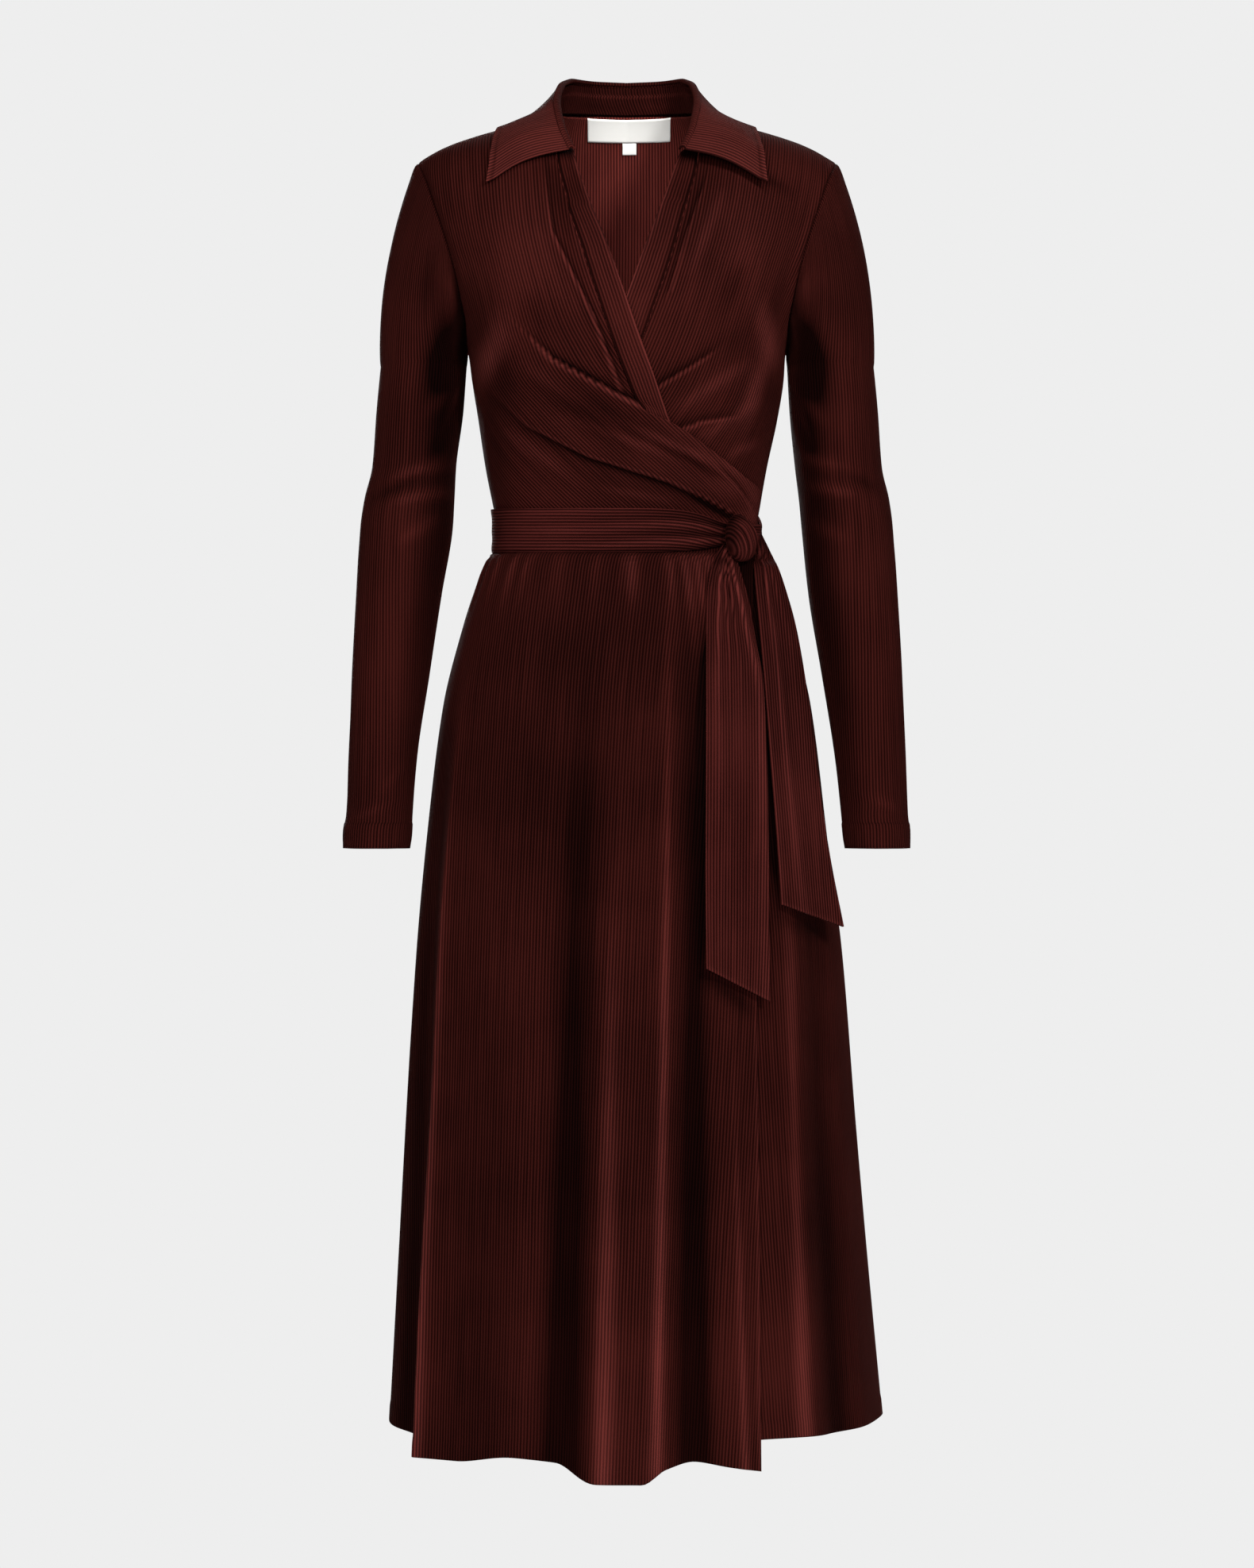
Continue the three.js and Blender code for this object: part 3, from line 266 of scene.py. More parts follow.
    def skirt(self, angle: Array, z: Array) -> Array:
        """Point of the skirt form: half width |sin|^(2/power) and depth |cos|^(2/power).

        Args:
            angle: Angles round the whole body, 0 at the middle of the front.
            z: Heights.

        Returns:
            Points in millimetres, with a last axis of 3.
        """
        angle, z = np.broadcast_arrays(np.asarray(angle, float), np.asarray(z, float))
        sine, cosine = np.sin(angle), np.cos(angle)
        x = np.sign(sine) * np.abs(sine) ** (2.0 / self.power) * self.half_width(sine, z)
        depth = np.where(cosine > 0, -self.column(2)(z), self.column(3)(z))
        return np.stack([x, depth * np.abs(cosine) ** (2.0 / self.power), z], axis=-1)

    def depth(self, x: Array, z: Array, back: bool = False) -> Array:
        """Depth of the plain form, of the skirt below the waist and of the bodice above it.

        Args:
            x: Distance from the middle.
            z: Height.
            back: True for the back of the body.

        Returns:
            The y of each point.
        """
        x, z = np.broadcast_arrays(np.asarray(x, float), np.asarray(z, float))
        angle = self.angle_of(x, z)
        low = self.skirt(math.pi - angle if back else angle, z)[..., 1]
        high = self.bodice(angle, self.level_of(x, z, back), back)[..., 1]
        return np.where(z < self.waist_z, low, high)


@dataclass(frozen=True)
class Pleat:
    """A soft step along a line of the front view: it rises just below the line and falls away under it.

    It grows from the onset to the full share of its length.
    """

    path: tuple
    height: float
    below: float
    above: float
    onset: float = -0.1
    full: float = 0.75
    upper_on_top: bool = False

    def place(self, x: Array, z: Array) -> tuple[Array, Array, Array]:
        """Place of each point beside the line, from the nearest of its straight segments.

        Args:
            x: Distance from the middle.
            z: Height.

        Returns:
            The distance to the line, 1 below the line or -1 above it, and the share of its length reached.
        """
        path = np.asarray(self.path, float)
        best = np.full(np.shape(x), np.inf)
        signed = np.zeros(np.shape(x))
        share = np.zeros(np.shape(x))
        for i, (start, end) in enumerate(zip(path[:-1], path[1:])):
            run = end - start
            along = np.clip(((x - start[0]) * run[0] + (z - start[1]) * run[1]) / (run @ run), 0.0, 1.0)
            gap = np.hypot(x - start[0] - along * run[0], z - start[1] - along * run[1])
            side = np.sign(run[0] * (z - start[1]) - run[1] * (x - start[0])) * np.sign(run[0])
            nearer = gap < best
            best = np.where(nearer, gap, best)
            signed = np.where(nearer, -side, signed)
            share = np.where(nearer, (i + along) / (len(path) - 1), share)
        return best, -signed if self.upper_on_top else signed, share

    def lift(self, x: Array, z: Array) -> Array:
        """Height of the step at x and z.

        Below the line it is height exp(-(gap/below)^2), above it a quarter of that as a trough, over its
        own reach. The step itself takes two millimetres on each side.

        Args:
            x: Distance from the middle.
            z: Height.

        Returns:
            How far the cloth stands out.
        """
        gap, signed, share = self.place(x, z)
        strength = self.height * smooth(self.onset, self.full, share)
        reach = np.where(signed > 0, self.below, self.above)
        rise = np.where(signed > 0, 1.0, -0.25)
        return strength * rise * np.exp(-((gap / reach) ** 2)) * smooth(-0.5, 2.2, gap)

    def painted_light(self, x: Array, z: Array) -> Array:
        """Painted highlight along the lip just below the line, painted shade in the hollow above it.

        Args:
            x: Distance from the middle.
            z: Height.

        Returns:
            Bells across the line, up to about 1 on the lip and down to -1.1 in the hollow.
        """
        gap, signed, share = self.place(x, z)
        strength = min(1.0, self.height / 5.0) * smooth(self.onset, 0.4, share)
        lip = 0.85 * bell(gap - 1.5, 1.2) + 0.12 * bell(gap - 9, 9)
        return strength * np.where(signed > 0, lip, -1.1 * bell(gap, 0.6 * self.above))


@dataclass(frozen=True)
class Patch:
    """A soft ellipse of painted light in the front view, painted shade where its amount is negative."""

    centre: tuple
    reach: tuple
    amount: float
    lean: float = 0.0

    def value(self, x: Array, z: Array) -> Array:
        """Amount exp(-(p/a)^2 - (q/b)^2), in axes p and q turned by the lean in degrees.

        Args:
            x: Distance from the middle.
            z: Height.

        Returns:
            The amount at each point.
        """
        turn = math.radians(self.lean)
        dx, dz = x - self.centre[0], z - self.centre[1]
        p = dx * math.cos(turn) + dz * math.sin(turn)
        q = dz * math.cos(turn) - dx * math.sin(turn)
        return self.amount * bell(p, self.reach[0]) * bell(q, self.reach[1])


@dataclass(frozen=True)
class Crease:
    """A soft ridge or trough along a straight line of the front view, fading at both ends."""

    start: tuple
    end: tuple
    height: float
    spread: float

    def lift(self, x: Array, z: Array) -> Array:
        """Height of the crease: a bell across the line times a sine hump along it.

        Args:
            x: Distance from the middle.
            z: Height.

        Returns:
            How far the cloth stands out.
        """
        a, b = np.asarray(self.start, float), np.asarray(self.end, float)
        run = b - a
        along = ((x - a[0]) * run[0] + (z - a[1]) * run[1]) / (run @ run)
        across = ((x - a[0]) * run[1] - (z - a[1]) * run[0]) / np.hypot(*run)
        hump = np.where((along > 0) & (along < 1), np.sin(math.pi * np.clip(along, 0, 1)), 0.0)
        return self.height * bell(across, self.spread) * hump

    def painted_light(self, x: Array, z: Array) -> Array:
        """Painted highlight on a ridge, painted shade in a trough, in step with the height."""
        return PAINTED_LIGHT_PER_MM * self.lift(x, z)


def arc_lengths(points: Array, axis: int) -> Array:
    """Length along one axis of a grid of points, as the running sum of its steps.

    Args:
        points: Grid of points, with a last axis of 3.
        axis: 0 to go down the columns, 1 to go along the rows.

    Returns:
        The length at each point, from 0 in the first row or column.
    """
    steps = np.linalg.norm(np.diff(points, axis=axis), axis=-1)
    pad = [(1, 0), (0, 0)] if axis == 0 else [(0, 0), (1, 0)]
    return np.pad(np.cumsum(steps, axis=axis), pad)


def closed(points: Array) -> Array:
    """A ring's grid with its first column again at the end."""
    return np.concatenate([points, points[:, :1]], axis=1)


def plain_weave(points: Array) -> Array:
    """Weave map of ribs that run down the columns, from the lengths along both axes."""
    return np.stack([arc_lengths(points, 1), arc_lengths(points, 0)], axis=-1)


def unit(vectors: Array) -> Array:
    """Vectors of length 1, or 0 where they have none."""
    return vectors / np.maximum(np.linalg.norm(vectors, axis=-1, keepdims=True), 1e-9)


def grid_normals(points: Array, ring: bool) -> Array:
    """Unit normals of a grid, as the cross product of its two central differences.

    Args:
        points: Grid of points, with a last axis of 3.
        ring: True where the rows close on themselves.

    Returns:
        A normal for each point.
    """
    if ring:
        across = np.roll(points, -1, axis=1) - np.roll(points, 1, axis=1)
    else:
        across = np.gradient(points, axis=1)
    return unit(np.cross(across, np.gradient(points, axis=0)))


def lift_outward(points: Array, amount: Array, waist_z: float) -> Array:
    """Moves a grid along its own outward normal, level near the waist so that its seam stays level.

    Args:
        points: Grid of points in millimetres.
        amount: How far each point moves.
        waist_z: Height of the waist seam. The normal gets its full slope 60 mm from it.

    Returns:
        The moved grid.
    """
    normal = grid_normals(points, False)
    outward = np.sum(normal[..., :2] * points[..., :2], axis=-1, keepdims=True)
    normal = np.where(outward < 0, -normal, normal)
    normal[..., 2] *= smooth(0.0, 60.0, np.abs(points[..., 2] - waist_z))
    return points + unit(normal) * np.asarray(amount)[..., None]


def cloth_quads(outer: Array, inner: Array, ring: bool) -> Array:
    """Quads of a wall's two faces and its rims, from the index grids of both faces.

    Args:
        outer: Numbers of the outer face's points. A ring repeats its first column at the end.
        inner: The same for the inner face.
        ring: True where the wall closes on itself, so that it has no side rims.

    Returns:
        The quads, a row of four numbers each.
    """
    quads = [np.stack([outer[:-1, :-1], outer[1:, :-1], outer[1:, 1:], outer[:-1, 1:]], -1).reshape(-1, 4),
             np.stack([inner[:-1, :-1], inner[:-1, 1:], inner[1:, 1:], inner[1:, :-1]], -1).reshape(-1, 4),
             np.stack([outer[0, :-1], outer[0, 1:], inner[0, 1:], inner[0, :-1]], -1),
             np.stack([outer[-1, :-1], inner[-1, :-1], inner[-1, 1:], outer[-1, 1:]], -1)]
    if not ring:
        quads.append(np.stack([outer[:-1, 0], inner[:-1, 0], inner[1:, 0], outer[1:, 0]], -1))
        quads.append(np.stack([outer[:-1, -1], outer[1:, -1], inner[1:, -1], inner[:-1, -1]], -1))
    return np.concatenate(quads)


@dataclass
class Shell:
    """A thin closed wall of cloth on a grid of points, with its own weave map.

    The outer face is the grid moved out by half the thickness, the inner face the grid moved in by
    half, and plain rims close the free edges. The weave map's u runs across the ribs, v along them. A
    ring's weave map has one column more than its points, so that it doesn't jump back at the seam.
    """

    node: str
    points: Array
    weave: Array
    thickness: float
    held: Hang = Hang.HUNG
    slot: Slot = Slot.VELVET
    ring: bool = False
    seam: Array | None = None
    # painted light and shade of each point: lighter above 0, darker below
    painted_light: Array | None = None
    reverse: bool = False

    def masks(self) -> dict[str, Array]:
        """Masks of both faces: seams, the painted light and shade, and the face that shows the cloth's
        reverse.

        The reverse is on the face that lies nearer to the piece's own upright axis.

        Returns:
            Each mask's name, and its value for each point of the outer and then the inner face.
        """
        shape = self.points.shape[:2]
        both = {name: np.concatenate([np.ravel(np.zeros(shape) if given is None else given)] * 2)
                for name, given in (("seam", self.seam), ("painted_light", self.painted_light))}
        axis = self.points.mean(axis=(0, 1)) if self.ring else np.zeros(3)
        normal = grid_normals(self.points, self.ring)
        outward = float(np.sum(normal[..., :2] * (self.points - axis)[..., :2])) > 0
        inner = [0.0, 1.0] if outward else [1.0, 0.0]
        both["reverse"] = np.repeat(inner, shape[0] * shape[1]) * float(self.reverse)
        return both

    def declare(self) -> None:
        """The width is the longest row, the length is the longest column, and the area is half the length
        of the cross product of each cell's diagonals, summed.
        """
        loop = closed(self.points) if self.ring else self.points
        width = arc_lengths(loop, 1)[:, -1].max()
        length = arc_lengths(self.points, 0)[-1].max()
        cross = np.cross(loop[1:, 1:] - loop[:-1, :-1], loop[1:, :-1] - loop[:-1, 1:])
        area = 0.5 * np.linalg.norm(cross, axis=-1).sum()
        area = float(np.clip(area, 0.31 * width * length, 0.99 * width * length))

    def build(self, material: bpy.types.Material) -> None:
        """Args:
            material: The cloth's finish.
        """
        normal = grid_normals(self.points, self.ring) * (self.thickness / 2.0)
        faces = [(self.points + normal).reshape(-1, 3), (self.points - normal).reshape(-1, 3)]
        places = np.concatenate(faces)
        index = np.arange(len(places)).reshape(2, *self.points.shape[:2])
        turn = np.concatenate([index, index[:, :, :1]], axis=2) if self.ring else index
        cells = np.arange(2 * turn[0].size).reshape(turn.shape)
        quads = cloth_quads(turn[0], turn[1], self.ring)
        corners = cloth_quads(cells[0], cells[1], self.ring)
        a, b, c, d = (places[quads[:, k]] for k in range(4))
        if np.sum(a * np.cross(b, c)) + np.sum(a * np.cross(c, d)) < 0:
            quads, corners = quads[:, ::-1], corners[:, ::-1]
        weave = np.concatenate([self.weave.reshape(-1, 2)] * 2)[corners.ravel()]
        piece = mesh_object(self.node, places, quads.tolist(), weave, self.masks(), material)
        self.declare()
        hand_over(piece, self.node)


def mesh_object(node: str, places: Array, faces: list, weave: Array, masks: dict[str, Array],
                material: bpy.types.Material) -> bpy.types.Object:
    """Puts points, faces, a weave map and masks into a new object at the origin.

    Args:
        node: Name of the node that the piece stands for.
        places: Points in millimetres.
        faces: Faces as lists of point numbers.
        weave: Weave map in millimetres, a row for each corner of each face.
        masks: Each mask's name and its value for each point.
        material: Material of the whole piece.

    Returns:
        The new object, linked to the scene.
    """
    name = f"{node}_cloth"
    mesh = bpy.data.meshes.new(name)
    mesh.from_pydata((places * MM).tolist(), [], faces)
    layer = mesh.uv_layers.new(name="weave")
    layer.data.foreach_set("uv", (weave * MM).astype(np.float32).ravel())
    for label, values in masks.items():
        mask = mesh.attributes.new(name=label, type="FLOAT", domain="POINT")
        mask.data.foreach_set("value", values.astype(np.float32))
    mesh.polygons.foreach_set("use_smooth", np.ones(len(mesh.polygons), dtype=bool))
    mesh.materials.append(material)
    mesh.update()
    obj = bpy.data.objects.new(name, mesh)
    bpy.context.scene.collection.objects.link(obj)
    return obj


def hand_over(piece: bpy.types.Object, node: str) -> None:
    """Lets a piece ride on the dress's one body and stand for its solid, which is hidden.

    Args:
        piece: The finished object.
        node: Name of the solid.
    """
    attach(piece, "root")
    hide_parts(node)
    LOG.info("%s stands for %s, %d faces", piece.name, node, len(piece.data.polygons))


class Nodes:
    """Small helper that adds nodes to a tree and joins their sockets."""

    def __init__(self, tree: bpy.types.NodeTree) -> None:
        """Keeps the tree that the nodes go into."""
        self.tree = tree

    def add(self, kind: str, inputs: dict | None = None, **settings: object) -> bpy.types.Node:
        """Adds a node, applies its settings, and sets or joins its inputs.

        Args:
            kind: Blender's name of the node type.
            inputs: Socket name or number to a plain value or to the output socket that feeds it.
            **settings: Properties of the node, such as operation.

        Returns:
            The new node.
        """
        node = self.tree.nodes.new(kind)
        for name, value in settings.items():
            setattr(node, name, value)
        for key, value in (inputs or {}).items():
            if isinstance(value, bpy.types.NodeSocket):
                self.tree.links.new(value, node.inputs[key])
            else:
                node.inputs[key].default_value = value
        return node

    def math(self, operation: str, a: object, b: object = 0.0, clamp: bool = False) -> bpy.types.NodeSocket:
        """Adds a Math node and returns its result socket."""
        return self.add("ShaderNodeMath", {0: a, 1: b}, operation=operation, use_clamp=clamp).outputs[0]

    def noise(self, where: bpy.types.NodeSocket, scale: float, detail: float) -> bpy.types.NodeSocket:
        """Adds a noise texture and returns its value."""
        return self.add("ShaderNodeTexNoise", {"Vector": where, "Scale": scale, "Detail": detail}).outputs[0]

    def spread(self, value: bpy.types.NodeSocket, width: float) -> bpy.types.NodeSocket:
        """A value from 0 to 1, spread evenly round 0 over a width."""
        return self.math("MULTIPLY", self.math("SUBTRACT", value, 0.5), width)

    def scaled(self, color: bpy.types.NodeSocket, gain: object) -> bpy.types.NodeSocket:
        """A colour times a number."""
        return self.add("ShaderNodeVectorMath", {0: color, 3: gain}, operation="SCALE").outputs[0]

    def added(self, a: bpy.types.NodeSocket, b: bpy.types.NodeSocket) -> bpy.types.NodeSocket:
        """The sum of two colours."""
        return self.add("ShaderNodeVectorMath", {0: a, 1: b}, operation="ADD").outputs[0]

    def blend(self, share: bpy.types.NodeSocket, low: object, high: object) -> bpy.types.NodeSocket:
        """A blend of two colours, low at 0 and high at 1."""
        return self.add("ShaderNodeMix", {0: share, 6: low, 7: high}, data_type="RGBA").outputs[2]


def new_material(name: str) -> tuple[bpy.types.Material, Nodes]:
    """Makes an empty material.

    Args:
        name: Its name.

    Returns:
        The material and the helper that fills its node tree.
    """
    material = bpy.data.materials.new(name)
    material.use_nodes = True
    material.node_tree.nodes.clear()
    return material, Nodes(material.node_tree)


@dataclass(frozen=True)
class RibPile:
    """Sizes and strengths of the ribbed pile that both velvets share."""

    # noise scales in cycles a metre
    waver_scale: float = 9.0
    cloud_scale: float = 8.0
    grain_scale: float = 900.0
    streak_scale: tuple = (330.0, 9.0, 1.0)
    # how far a rib wanders sideways, in metres
    waver: float = 0.0016
    wale_share: float = 0.95
    streak_share: float = 0.7
    cloud_share: float = 1.3
    grain_height: float = 0.3
    # gain of the colour for each step of the painted light and shade, and the darkest that it gets
    painted_light_gain: float = 0.85
    darkest: float = 0.12
    # the painted sheen where the painted light is above 0: how much of it lies on the crests, and how much
    # everywhere
    painted_sheen_on_crest: float = 0.4
    painted_sheen_even: float = 0.48
    # the reverse of the cloth, a lighter knit raised further by painted light: its gain against the pile's
    # colour, and its share of the painted sheen
    knit_gain: float = 4.4
    knit_painted_sheen: float = 0.5

    def group(self) -> bpy.types.NodeTree:
        """Shader group of the ribbed pile: colour and height of round wales, with streaks and painted light.

        The wale's profile is 0.5 + 0.5 cos(2 pi u / pitch). Long streaks along the wales and broad clouds
        of turned pile move the colour between groove and crest. The painted light mask then scales the
        colour, up as painted light on a crest of the cloth and down as painted shade in a valley, and adds a
        painted sheen; the reverse of the cloth is a lighter plain knit, raised further by painted light and
        sheen.

        Returns:
            The group's node tree.
        """
        group = bpy.data.node_groups.new("rib_pile", "ShaderNodeTree")
        face = group.interface
        for name, kind in (("Weave", "Vector"), ("Place", "Vector"), ("Pitch", "Float"), ("Groove", "Color"),
                           ("Crest", "Color"), ("Painted_sheen", "Color"), ("Seam", "Float"), ("Painted_light", "Float"),
                           ("Reverse", "Float")):
            face.new_socket(name=name, in_out="INPUT", socket_type=f"NodeSocket{kind}")
        for name, kind in (("Color", "Color"), ("Height", "Float")):
            face.new_socket(name=name, in_out="OUTPUT", socket_type=f"NodeSocket{kind}")
        n = Nodes(group)
        given = n.add("NodeGroupInput").outputs

        waver = n.noise(given["Place"], self.waver_scale, 1.0)
        cloud = n.noise(given["Place"], self.cloud_scale, 3.0)
        grain = n.noise(given["Place"], self.grain_scale, 2.0)
        stretched = n.add("ShaderNodeMapping", {0: given["Weave"], 3: self.streak_scale})
        streak = n.noise(stretched.outputs[0], 1.0, 2.0)
        across = n.add("ShaderNodeSeparateXYZ", {0: given["Weave"]}).outputs[0]
        across = n.math("ADD", across, n.spread(waver, self.waver))
        phase = n.math("MULTIPLY", n.math("DIVIDE", across, given["Pitch"]), 2.0 * math.pi)
        wale = n.math("ADD", n.math("MULTIPLY", n.math("COSINE", phase), 0.5), 0.5)
        uneven = n.math("ADD", n.spread(streak, self.streak_share), n.spread(cloud, self.cloud_share))
        share = n.math("ADD", n.math("MULTIPLY", wale, self.wale_share), uneven)
        share = n.math("MULTIPLY", share, n.math("SUBTRACT", 1.0, given["Seam"]), clamp=True)
        pile = n.blend(share, given["Groove"], given["Crest"])

        # painted light and shade: the colour scaled up on crests and down in valleys and shadows
        gain = n.math("ADD", n.math("MULTIPLY", given["Painted_light"], self.painted_light_gain), 1.0)
        lit = n.scaled(pile, n.math("MAXIMUM", gain, self.darkest))
        # painted sheen, added where the painted light is above 0
        painted_sheen_share = n.math("ADD", n.math("MULTIPLY", share, self.painted_sheen_on_crest), self.painted_sheen_even)
        raised = n.math("MULTIPLY", n.math("MAXIMUM", given["Painted_light"], 0.0), painted_sheen_share)
        front = n.added(lit, n.scaled(given["Painted_sheen"], raised))
        knit = n.added(n.scaled(pile, self.knit_gain), n.scaled(given["Painted_sheen"], self.knit_painted_sheen))
        height = n.math("ADD", wale, n.math("MULTIPLY", grain, self.grain_height))
        n.add("NodeGroupOutput", {"Color": n.blend(given["Reverse"], front, knit), "Height": height})
        return group


@dataclass(frozen=True)
class RibbedVelvet:
    """Finish of the corded velvet: dark grooves, redder crests, painted sheen, and painted shade at a slant.
    """

    name: str
    pitch: float = 0.0027
    groove: tuple = (0.0058, 0.0010, 0.0008, 1.0)
    crest: tuple = (0.0325, 0.0055, 0.0043, 1.0)
    # colour of the painted sheen
    painted_sheen: tuple = (0.022, 0.0052, 0.0048, 1.0)
    rib_depth: float = 0.0006
    relief: float = 0.85
    # painted shade: how much darker the colour is where the surface is seen at a slant
    painted_side_shade: float = 0.45

    def make(self, group: bpy.types.NodeTree) -> bpy.types.Material:
        """Builds the material round the shared group.

        Args:
            group: The ribbed pile.

        Returns:
            The material.
        """
        material, n = new_material(self.name)
        given = {"Weave": n.add("ShaderNodeUVMap", uv_map="weave").outputs[0],
                 "Place": n.add("ShaderNodeTexCoord").outputs["Object"],
                 "Pitch": self.pitch, "Groove": self.groove, "Crest": self.crest, "Painted_sheen": self.painted_sheen}
        for name in ("Seam", "Painted_light", "Reverse"):
            given[name] = n.add("ShaderNodeAttribute", attribute_name=name.lower()).outputs["Fac"]
        pile = n.add("ShaderNodeGroup", node_tree=group)
        for name, value in given.items():
            if isinstance(value, bpy.types.NodeSocket):
                n.tree.links.new(value, pile.inputs[name])
            else:
                pile.inputs[name].default_value = value
        # painted shade towards the silhouettes: darker where the surface is seen at a slant
        facing = n.add("ShaderNodeLayerWeight", {"Blend": 0.5}).outputs["Facing"]
        slant = n.math("SUBTRACT", 1.0, n.math("MULTIPLY", n.math("MULTIPLY", facing, facing), self.painted_side_shade))
        bump = n.add("ShaderNodeBump", {"Height": pile.outputs["Height"], "Strength": self.relief,
                                        "Distance": self.rib_depth})
        shader = n.add("ShaderNodeBsdfPrincipled", {
            "Base Color": n.scaled(pile.outputs["Color"], slant), "Normal": bump.outputs[0],
            "Roughness": 0.85, "Specular IOR Level": 0.008, "Sheen Weight": 0.02, "Sheen Roughness": 0.4,
            "Sheen Tint": (1.0, 0.2, 0.16, 1.0)})
        n.add("ShaderNodeOutputMaterial", {0: shader.outputs[0]})
        return material


@dataclass(frozen=True)
class WovenTape:
    """Finish of the blank white label: fine satin weave."""

    name: str = "woven_tape"
    color: tuple = (0.93, 0.92, 0.88, 1.0)
    shade: tuple = (0.86, 0.85, 0.81, 1.0)

    def make(self) -> bpy.types.Material:
        """Builds the material: thread lines as a fine wave in colour and height.

        Returns:
            The material.
        """
        material, n = new_material(self.name)
        threads = n.add("ShaderNodeTexWave", {"Vector": n.add("ShaderNodeTexCoord").outputs["Object"],
                                              "Scale": 900.0, "Distortion": 0.4}, bands_direction="Z")
        thread = threads.outputs["Fac"]
        bump = n.add("ShaderNodeBump", {"Height": thread, "Strength": 0.3, "Distance": 0.0001})
        shader = n.add("ShaderNodeBsdfPrincipled", {
            "Base Color": n.blend(thread, self.shade, self.color), "Normal": bump.outputs[0],
            "Roughness": 0.55, "Sheen Weight": 0.2})
        n.add("ShaderNodeOutputMaterial", {0: shader.outputs[0]})
        return material


class Hills:
    """Gentle unevenness of hanging cloth: random heights at the knots of a lattice, blended smoothly."""

    size = 64
    shift = 500.0

    def __init__(self, seed: int, cell: tuple = (26.0, 110.0), height: float = 0.6) -> None:
        """Draws the knots.

        Args:
            seed: Seed of the random heights, so that each run is the same.
            cell: Size of a cell across and along, in millimetres.
            height: Largest height, in millimetres.
        """
        self.knots = np.random.default_rng(seed).uniform(-1.0, 1.0, (self.size, self.size))
        self.cell = cell
        self.height = height

    def __call__(self, across: Array, along: Array) -> Array:
        """Height of the cloth, blended by smoothstep between the four knots round each place.

        Args:
            across: Length across the cloth.
            along: Length along the cloth.

        Returns:
            The height at each place, in millimetres.
        """
        u, v = np.broadcast_arrays(across / self.cell[0] + self.shift, along / self.cell[1] + self.shift)
        i, j = np.floor(u).astype(int), np.floor(v).astype(int)
        s, t = smooth(0, 1, u - i), smooth(0, 1, v - j)

        def knot(right: int, up: int) -> Array:
            """Height of one of the four knots round each place."""
            return self.knots[(j + up) % self.size, (i + right) % self.size]

        return self.height * mix(mix(knot(0, 0), knot(1, 0), s), mix(knot(0, 1), knot(1, 1), s), t)


def uneven_steps(count: int, near_start: Sequence[float] = (), near_end: Sequence[float] = ()) -> Array:
    """Shares from 0 to 1 in even steps, with extra ones close to either end for seams and hems.

    Args:
        count: Number of even steps. One that lies within 0.35 of a step from an extra share is dropped.
        near_start: Extra shares, counted from 0.
        near_end: Extra shares, counted back from 1.

    Returns:
        The shares in order.
    """
    extra = [0.0, 1.0, *near_start, *(1.0 - share for share in near_end)]
    even = [t for t in np.linspace(0, 1, count + 1) if min(abs(t - e) for e in extra) > 0.35 / count]
    return np.array(sorted(set(extra + even)))


def along_seam(distance: Array, reach: float = 3.0, depth: float = 0.7) -> Array:
    """How deep the cloth turns in at a seam: level at the seam itself and level again past the reach."""
    return -depth * (1.0 - smooth(0.0, reach, distance))


def seam_mask(distance: Array) -> Array:
    """Mask of a seam: 0.8 at the seam, fading over 1.6 mm."""
    return 0.8 * np.clip(1.0 - distance / 1.6, 0.0, 1.0)


def sewn_line(distance: Array, at: float, half: float = 0.8) -> Array:
    """Mask of a line of stitches that lies a distance in from an edge."""
    return np.clip(1.0 - np.abs(distance - at) / half, 0.0, 1.0)


@dataclass(frozen=True)
class Wall:
    """Thickness of the cloth in each part, in millimetres."""

    bodice: float = 1.5
    skirt: float = 1.5
    sleeve: float = 1.5
    band: float = 2.3
    collar: float = 2.0
    belt: float = 2.4
    label: float = 0.5


@dataclass(frozen=True)
class Layers:
    """The over front lies outside the plain form and the under front inside it."""

    step: float = 2.6

    def over(self, angle: Array) -> Array:
        """Offset of the over layer: it grows from the side seam forwards."""
        return self.step * smooth(math.radians(-88), math.radians(-58), angle)

    def under(self, angle: Array) -> Array:
        """Offset of the under layer: inside the form, and back to it at its side seam."""
        return -self.step * (1.0 - smooth(math.radians(58), math.radians(88), angle))

    def of(self, side: Side, angle: Array) -> Array:
        """Offset of one side's front: the wearer's right one lies over the left one."""
        return self.over(angle) if side is Side.WEARER_RIGHT else self.under(angle)


@dataclass(frozen=True)
class FrontCut:
    """Free edge of one front and the free edge of its band, with the pleats pressed into that front."""

    side: Side
    edge: tuple
    band_edge: tuple
    pleats: tuple
    creases: tuple
    patches: tuple
    slopes: tuple
    columns: int
    rows: int

    def lift(self, x: Array, z: Array) -> Array:
        """Height of all the pleats and creases together."""
        return (sum(pleat.lift(x, z) for pleat in self.pleats)
                + sum(crease.lift(x, z) for crease in self.creases))

    def painted_light(self, x: Array, z: Array) -> Array:
        """Painted light and shade from the pleats, the creases and the patches together."""
        return (sum(pleat.painted_light(x, z) for pleat in self.pleats)
                + sum(crease.painted_light(x, z) for crease in self.creases)
                + sum(patch.value(x, z) for patch in self.patches))


